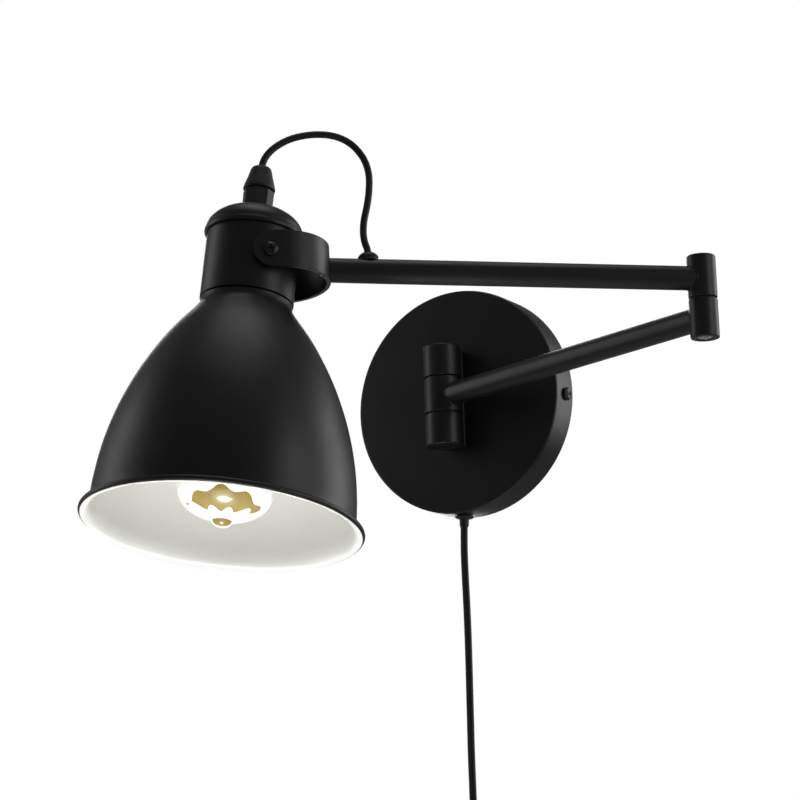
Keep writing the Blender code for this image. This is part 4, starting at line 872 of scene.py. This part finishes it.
# %% Cord grip
grip_low = CAP_TOP + 0.0003
GRIP_SEAM = 0.0488
GRIP_TOP = 0.0640
outline = [(0.0, grip_low), (0.0089, grip_low), (0.0092, GRIP_SEAM - 0.0012), (0.0090, GRIP_SEAM), (0.0, GRIP_SEAM)]
grip = lathe("grip_flats", soften(outline, [0, 0.0006, 0.0006, 0.0005, 0], 3), HEAD @ Matrix.Rotation(0.49, 4, "Z"),
             [moulded_black], "head", ["grip_body"], 8, smooth=20)
corners = grip.modifiers.new("edges", "BEVEL")
corners.width = 0.0005
corners.segments = 2
corners.angle_limit = math.radians(25)
outline = [(0.0, GRIP_SEAM + 0.0003), (0.0090, GRIP_SEAM + 0.0003), (0.0095, GRIP_SEAM + 0.0010)]
outline += [(0.0091, GRIP_SEAM + 0.0030), (0.0073, GRIP_SEAM + 0.0090), (0.0062, GRIP_TOP - 0.0018)]
outline += [(0.0056, GRIP_TOP - 0.0006), (0.0046, GRIP_TOP), (0.0023, GRIP_TOP), (0.0022, GRIP_TOP - 0.002)]
outline += [(0.0, GRIP_TOP - 0.002)]
lathe("grip_taper", soften(outline, 0.0008, 4), HEAD, [moulded_black], "head", ["grip_collet"], 64, smooth=30)

# %% [markdown]
# ## The bell shade
# The shade is spun from one sheet: a short collar, a quick shoulder, a long bell and a rolled edge. It is
# black outside and white inside, so the mesh carries two finishes, changed at the bottom of the roll. The
# bell's points are few and lie on a smooth line.

# %% Shade outline
SHADE_SEAT = -0.0222
SHADE_WALL = 0.0010
RIM_RADIUS = 0.0808
RIM_PLANE = -0.1576
ROLL_SIZE = 0.0018
BELL = (
    (0.0268, -0.0224), (0.0268, -0.0252), (0.0277, -0.0272), (0.0300, -0.0303), (0.0328, -0.0340),
    (0.0368, -0.0390), (0.0419, -0.0460), (0.0476, -0.0550), (0.0537, -0.0660), (0.0594, -0.0780),
    (0.0649, -0.0920), (0.0694, -0.1070), (0.0726, -0.1220), (0.0746, -0.1380), (0.0753, -0.1508),
)
bell_line = [(p.x, p.y) for p in smooth_line([(x, z, 0) for x, z in BELL], 0.0030)]
outside = [(0.0198, SHADE_SEAT)] + bell_line
outside += [(0.0757, RIM_PLANE + 0.0043), (0.0766, RIM_PLANE + 0.0038), (0.0784, RIM_PLANE + 0.0036)]
outside += arc((RIM_RADIUS - ROLL_SIZE, RIM_PLANE + ROLL_SIZE), (ROLL_SIZE, ROLL_SIZE), 80, -90, 10)
inside = [(0.0782, RIM_PLANE + 0.0001), (0.0766, RIM_PLANE + 0.0004), (0.0756, RIM_PLANE + 0.0014)]
inside += [(0.0749, RIM_PLANE + 0.0036)]
for k in range(len(bell_line) - 1, 0, -1):
    run = (Vector(bell_line[k]) - Vector(bell_line[k - 1])).normalized()
    place = (bell_line[k][0] + run.y * SHADE_WALL, bell_line[k][1] - run.x * SHADE_WALL)
    if place[1] < SHADE_SEAT - 2 * SHADE_WALL and place[0] > 0.0255:
        inside.append(place)
inside.append((0.0198, SHADE_SEAT - SHADE_WALL))
WHITE_FROM = len(outside) - 2
print("shade outline:", len(outside) + len(inside), "points, rim across, mm:", round(2000 * RIM_RADIUS, 1))

# %% Shade
lathe("bell_shade", outside + inside, HEAD, [powder_black, shade_enamel], "head", ["shade"], 180,
      closed=True, finish_at=lambda k: int(WHITE_FROM <= k < len(outside) + len(inside) - 1), smooth=50)

# %% [markdown]
# ## The bulb
# An ordinary screw bulb of clear amber glass, with a sealed tip at its lowest point. Its finish paints the
# look of the glass: a gold star, the amber glass under a painted reflection, in a bright white border, a
# painted reflection of the shade's white inside, both made to glow. The finish itself draws the star: it is
# widest at one height on the crown, and the angle round the bulb's axis makes its edge run in and out.

# %% Bulb shape
BULB_RADIUS = 0.0270
BULB_WIDEST = -0.1380
BULB_BOTTOM = -0.1532
STAR_LATITUDE = math.radians(38.4)
STAR_HALF_HEIGHT = math.radians(23.4)
TIP_RADIUS = 0.0062
TIP_DROP = 0.0044
throat = [(0.0128, -0.0612), (0.0150, -0.0710), (0.0190, -0.0870), (0.0232, -0.1050), (0.0260, -0.1210)]
throat += [(0.0269, -0.1320)]
throat_line = [(p.x, p.y) for p in smooth_line([(x, z, 0) for x, z in throat], 0.0030)]
crown_line = arc((0, BULB_WIDEST), (BULB_RADIUS, BULB_BOTTOM - BULB_WIDEST), 0, 76, 14)
TIP_FROM = BULB_BOTTOM - 0.0004
tip_line = arc((0, TIP_FROM), (TIP_RADIUS, BULB_BOTTOM - TIP_DROP - TIP_FROM), 0, 90, 8)
tip_line[-1] = (0.0, BULB_BOTTOM - TIP_DROP)


# %% [markdown]
# The star needs the bulb's own axis, so the bulb's mesh is kept in its own directions and its object is
# placed in the head. Then the Object coordinates of its finish are measured from the bulb's axis. Where the
# glass is looked at straight on, its amber shows gold under a painted star of reflection; towards its edge it
# is painted white, a painted reflection of the shade's white inside: the Layer Weight node gives that, and
# the height on the crown keeps the star low on the bulb.


# %% Star crown finish, painted reflections on the bulb
def make_bulb_painted_reflection():
    finish = bpy.data.materials.new("bulb_painted_reflection_glass")
    finish.use_nodes = True
    tree = finish.node_tree
    place = add_node(tree, "TexCoord").outputs["Object"]
    x, y, z = add_node(tree, "SeparateXYZ", Vector=place).outputs
    # Facing drives a painted reflection: the glass is painted white where it turns away from view.
    facing = add_node(tree, "LayerWeight", Blend=0.5).outputs["Facing"]

    depth = BULB_WIDEST - BULB_BOTTOM
    below = math_node(tree, "MULTIPLY_ADD", z, -1 / depth, BULB_WIDEST / depth)
    below = math_node(tree, "MINIMUM", math_node(tree, "MAXIMUM", below, 0.0), 1.0)
    latitude = math_node(tree, "ARCSINE", below)
    off_middle = math_node(tree, "ABSOLUTE", math_node(tree, "SUBTRACT", latitude, STAR_LATITUDE))
    height_share = math_node(tree, "DIVIDE", off_middle, STAR_HALF_HEIGHT)
    straight_on = math_node(tree, "MULTIPLY_ADD", latitude, 0.51, -0.16)
    straight_on = math_node(tree, "MAXIMUM", straight_on, 0.0)
    turned_away = math_node(tree, "SUBTRACT", facing, straight_on)
    width_share = math_node(tree, "MAXIMUM", math_node(tree, "MULTIPLY", turned_away, 2.6), 0.0)
    angle = math_node(tree, "ARCTAN2", y, x)
    points = math_node(tree, "COSINE", math_node(tree, "MULTIPLY_ADD", angle, 10.0, 2.2))
    whole = math_node(tree, "ADD", height_share, width_share)
    reach = math_node(tree, "MULTIPLY_ADD", points, 0.24, whole)
    edge = add_node(tree, "MapRange", Value=reach, From_Min=1.04, From_Max=0.96)
    in_tip = math_node(tree, "LESS_THAN", z, BULB_BOTTOM - 0.0008)
    tip_front = math_node(tree, "LESS_THAN", facing, 0.52)
    tip = math_node(tree, "MULTIPLY", in_tip, tip_front)
    mask = math_node(tree, "MAXIMUM", edge.outputs["Result"], tip)
    cloud = add_node(tree, "TexNoise", Vector=place, Scale=90.0).outputs["Fac"]
    # The gold is the amber glass under a painted star of reflection; the white round it is a painted reflection of
    # the shade's white inside.
    gold = add_node(tree, "Mix", Factor=cloud, A=(0.19, 0.125, 0.018, 1.0), B=(0.41, 0.31, 0.095, 1.0))
    tint = add_node(tree, "Mix", Factor=mask, A=(0.92, 0.92, 0.90, 1.0), B=gold.outputs["Result"])
    gloss = add_node(tree, "MapRange", Value=mask, To_Min=0.08, To_Max=0.30)
    # Painted glow: the emission makes the painted white reflection and the gold star shine by themselves.
    painted_glow = add_node(tree, "Mix", Factor=mask, A=(0.40, 0.40, 0.395, 1.0), B=(0.080, 0.056, 0.012, 1.0))
    set_inputs(tree, tree.nodes["Principled BSDF"], Base_Color=tint.outputs["Result"],
               Roughness=gloss.outputs["Result"], Coat_Weight=1.0, Coat_Roughness=0.03,
               Emission_Color=painted_glow.outputs["Result"], Emission_Strength=1.0)
    return finish


bulb_painted_reflection = make_bulb_painted_reflection()


# %% Bulb
def lathe_in_place(name, outline, place, finishes, body, stands_for, steps=96, smooth=50):
    """Like lathe, but the object itself is placed, so its finish can use the piece's own axis."""
    piece = lathe(name, outline, Matrix.Identity(4), finishes, body, stands_for, steps, smooth=smooth)
    bpy.context.view_layer.update()
    piece.parent = None
    piece.matrix_world = place
    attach(piece, body)
    return piece


lathe_in_place("screw_bulb", throat_line + crown_line + tip_line, HEAD, [bulb_painted_reflection], "head",
               ["bulb_glass", "bulb_stem"])
print("bulb across, mm:", round(2000 * BULB_RADIUS, 1))

# %% Bulb cap with its thread
cap_outline = [(0.0, -0.0340), (0.0044, -0.0342), (0.0095, -0.0380), (0.0118, -0.0392)]
THREADS = 6
for k in range(THREADS * 4 + 1):
    height = -0.0400 - 0.0195 * k / (THREADS * 4)
    cap_outline.append((0.0124 + 0.0006 * math.sin(math.pi / 2 * k), height))
cap_outline += [(0.0128, -0.0606), (0.0, -0.0606)]
lathe("screw_cap", cap_outline, HEAD, [turned_brass], "head", ["bulb_cap"], 48, smooth=70)

# %% [markdown]
# ## Lamp holder and its ring
# Inside the neck a black holder takes the bulb, and a ribbed ring screws up against the shade from below.
# The ribs are made by moving every other ring of points outwards a little.

# %% Lamp holder
outline = [(0.0, 0.0120), (0.0100, 0.0120), (0.0190, 0.0060), (0.0190, -0.0201), (0.0225, -0.0201), (0.0225, -0.0219)]
outline += [(0.0190, -0.0219), (0.0190, -0.0600), (0.0137, -0.0600), (0.0136, -0.0330), (0.0, -0.0330)]
lathe("holder_body", soften(outline, 0.0008, 3), HEAD, [holder_black], "head", ["lamp_holder"], 72)


# %% Ribbed ring
def ribbed_ring(name, place, inner, outer, low, high, ribs, finish, body, stands_for):
    """A ring whose outside carries upright ribs."""
    sections = []
    for k in range(ribs * 4):
        angle = math.tau * k / (ribs * 4)
        reach = outer - (0.0007 if k % 4 in (0, 3) else 0.0)
        section = ((inner, high), (reach - 0.0006, high), (reach, high - 0.0008), (reach, low + 0.0008),
                   (reach - 0.0006, low), (inner, low))
        sections.append([place @ turned(radius, angle, z) for radius, z in section])
    piece = section_ring(name, sections, finish, 28)
    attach(piece, body)
    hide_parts(*stands_for)


under_shade = SHADE_SEAT - SHADE_WALL - 0.0003
ribbed_ring("holder_ring", HEAD, 0.0193, 0.0255, under_shade - 0.0080, under_shade, 30, holder_black, "head",
            ["shade_ring"])

# %% [markdown]
# ## Switch, tie and plug
# What hangs on the power cord keeps its solid shape, with rounded edges from a Bevel modifier: a modifier
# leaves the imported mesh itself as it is. A ribbed sleeve eases the flex into the plug.

# %% Rounded edges on the kept solids
kept_round = {"switch_shell_front": 0.0006, "switch_shell_back": 0.0006, "switch_rocker": 0.0004,
              "plug_body": 0.0006, "coil_tie": 0.0003, "terminal_block": 0.0004}
for node, width in kept_round.items():
    soft_edge = frame["nodes"][node].modifiers.new("soft_edge", "BEVEL")
    soft_edge.width = width
    soft_edge.segments = 2
    soft_edge.angle_limit = math.radians(50)
print("rounded:", ", ".join(kept_round))

# %% Plug sleeve
sleeve_outline = [(0.0026, 0.0)]
RIBS = 5
for k in range(RIBS):
    low = -0.0125 + 0.0024 * (RIBS - 1 - k)
    reach = 0.0056 - 0.0005 * (RIBS - 1 - k)
    sleeve_outline += [(reach, low + 0.0016), (reach, low)]
    sleeve_outline += [(reach - 0.0009, low - 0.0001), (reach - 0.0009, low - 0.0007)]
sleeve_outline += [(0.0026, -0.0135)]
plug_sleeve = lathe("plug_sleeve", soften(sleeve_outline, 0.0002, 2, closed=True),
                    Matrix.Translation((tail_x, cord_y, plug_top + 0.0135)), [moulded_black], "wall_base", (), 40,
                    closed=True)

# %% [markdown]
# ## Finishes of the kept solids
# Every solid that still shows gets the finish of its material slot.

# %% Dress the kept solids
finish_of_slot = {"satin_black": powder_black, "black_plastic": moulded_black, "plated_steel": zinc_steel,
                  "brass": turned_brass, "holder_plastic": holder_black, "cord_sheath": flex_sheath,
                  "bulb_glass": bulb_painted_reflection}
slot_of_node = {part["node"]: part["material_slot"] for part in frame["record"]["subparts"]}
for node, solid in frame["nodes"].items():
    finish = finish_of_slot[slot_of_node[node]]
    solid.data.materials.clear()
    solid.data.materials.append(finish)
print("dressed", len(frame["nodes"]), "solids")

# %% [markdown]
# ## Floor and light
# The lamp hangs in soft studio light. Black metal is drawn by its edges, so the strongest softboxes stand
# behind it on both sides and graze its contours; one from below, and a narrow one under the mouth, fill the
# shade. The backdrop is white.


# %% Softboxes
def softbox(name, place, target, size, power, colour=(1.0, 1.0, 1.0)):
    light = bpy.data.lights.new(name, "AREA")
    light.shape = "RECTANGLE"
    light.size, light.size_y = size
    light.energy = power
    light.color = colour
    lamp = bpy.data.objects.new(name, light)
    bpy.context.scene.collection.objects.link(lamp)
    aim = (Vector(target) - Vector(place)).to_track_quat("-Z", "Y")
    lamp.matrix_world = Matrix.Translation(Vector(place)) @ aim.to_matrix().to_4x4()
    return lamp


CENTRE = (Vector(SOLID_BOX[0]) + Vector(SOLID_BOX[1])) / 2
LIT = Vector((CENTRE.x, CENTRE.y, -0.03))
softbox("softbox_left", (-1.30, -0.55, 0.25), LIT, (0.6, 1.4), 5.0)
softbox("softbox_right", (1.60, -0.10, 0.20), LIT, (0.6, 1.4), 7.0)
softbox("rim_left", (-1.10, 1.30, 0.35), LIT, (0.9, 1.6), 22.0)
softbox("rim_right", (1.20, 1.50, 0.40), LIT, (0.9, 1.6), 17.5)
softbox("softbox_top", (0.10, -0.10, 1.50), LIT, (1.0, 0.8), 5.0)
softbox("softbox_low", (0.15, -1.05, -1.35), (0.03, -0.31, -0.10), (1.0, 0.8), 4.0)
mouth = HEAD @ Vector((0, 0, RIM_PLANE))
below_mouth = mouth + (HEAD.to_3x3() @ Vector((0, 0, -0.75)))
shade_fill = softbox("shade_fill", below_mouth, mouth, (0.20, 0.20), 0.25)
shade_fill.data.spread = math.radians(32)

# %% Backdrop and floor
world = bpy.data.worlds.new("studio")
bpy.context.scene.world = world
world.use_nodes = True
sky = world.node_tree
WHITE = (1.0, 1.0, 1.0, 1.0)
lit = sky.nodes["Background"]
set_inputs(sky, lit, Color=WHITE, Strength=0.16)
plain = add_node(sky, "Background", Color=WHITE, Strength=1.0)
choose = add_node(sky, "MixShader", Fac=add_node(sky, "LightPath").outputs["Is Camera Ray"])
sky.links.new(lit.outputs["Background"], choose.inputs[1])
sky.links.new(plain.outputs["Background"], choose.inputs[2])
sky.links.new(choose.outputs["Shader"], sky.nodes["World Output"].inputs["Surface"])
bpy.context.scene.view_settings.view_transform = "Standard"

floor_finish = coat("pale_floor", ((0.80, 0.80, 0.79), (0.84, 0.84, 0.83)), (0.7, 0.8), grain=40.0, depth=0.0001,
                    cloud=2.0)
tree = floor_finish.node_tree
set_inputs(tree, tree.nodes["Principled BSDF"], Emission_Strength=0.55,
           Emission_Color=add_node(tree, "LightPath").outputs["Is Camera Ray"])
FLOOR_DROP = 1.30
bpy.ops.mesh.primitive_plane_add(size=30.0, location=(0, 0, SOLID_BOX[0][2] - FLOOR_DROP))
floor = bpy.context.object
floor.name = "floor"
floor.data.materials.append(floor_finish)
print("floor at, m:", round(floor.location.z, 2))
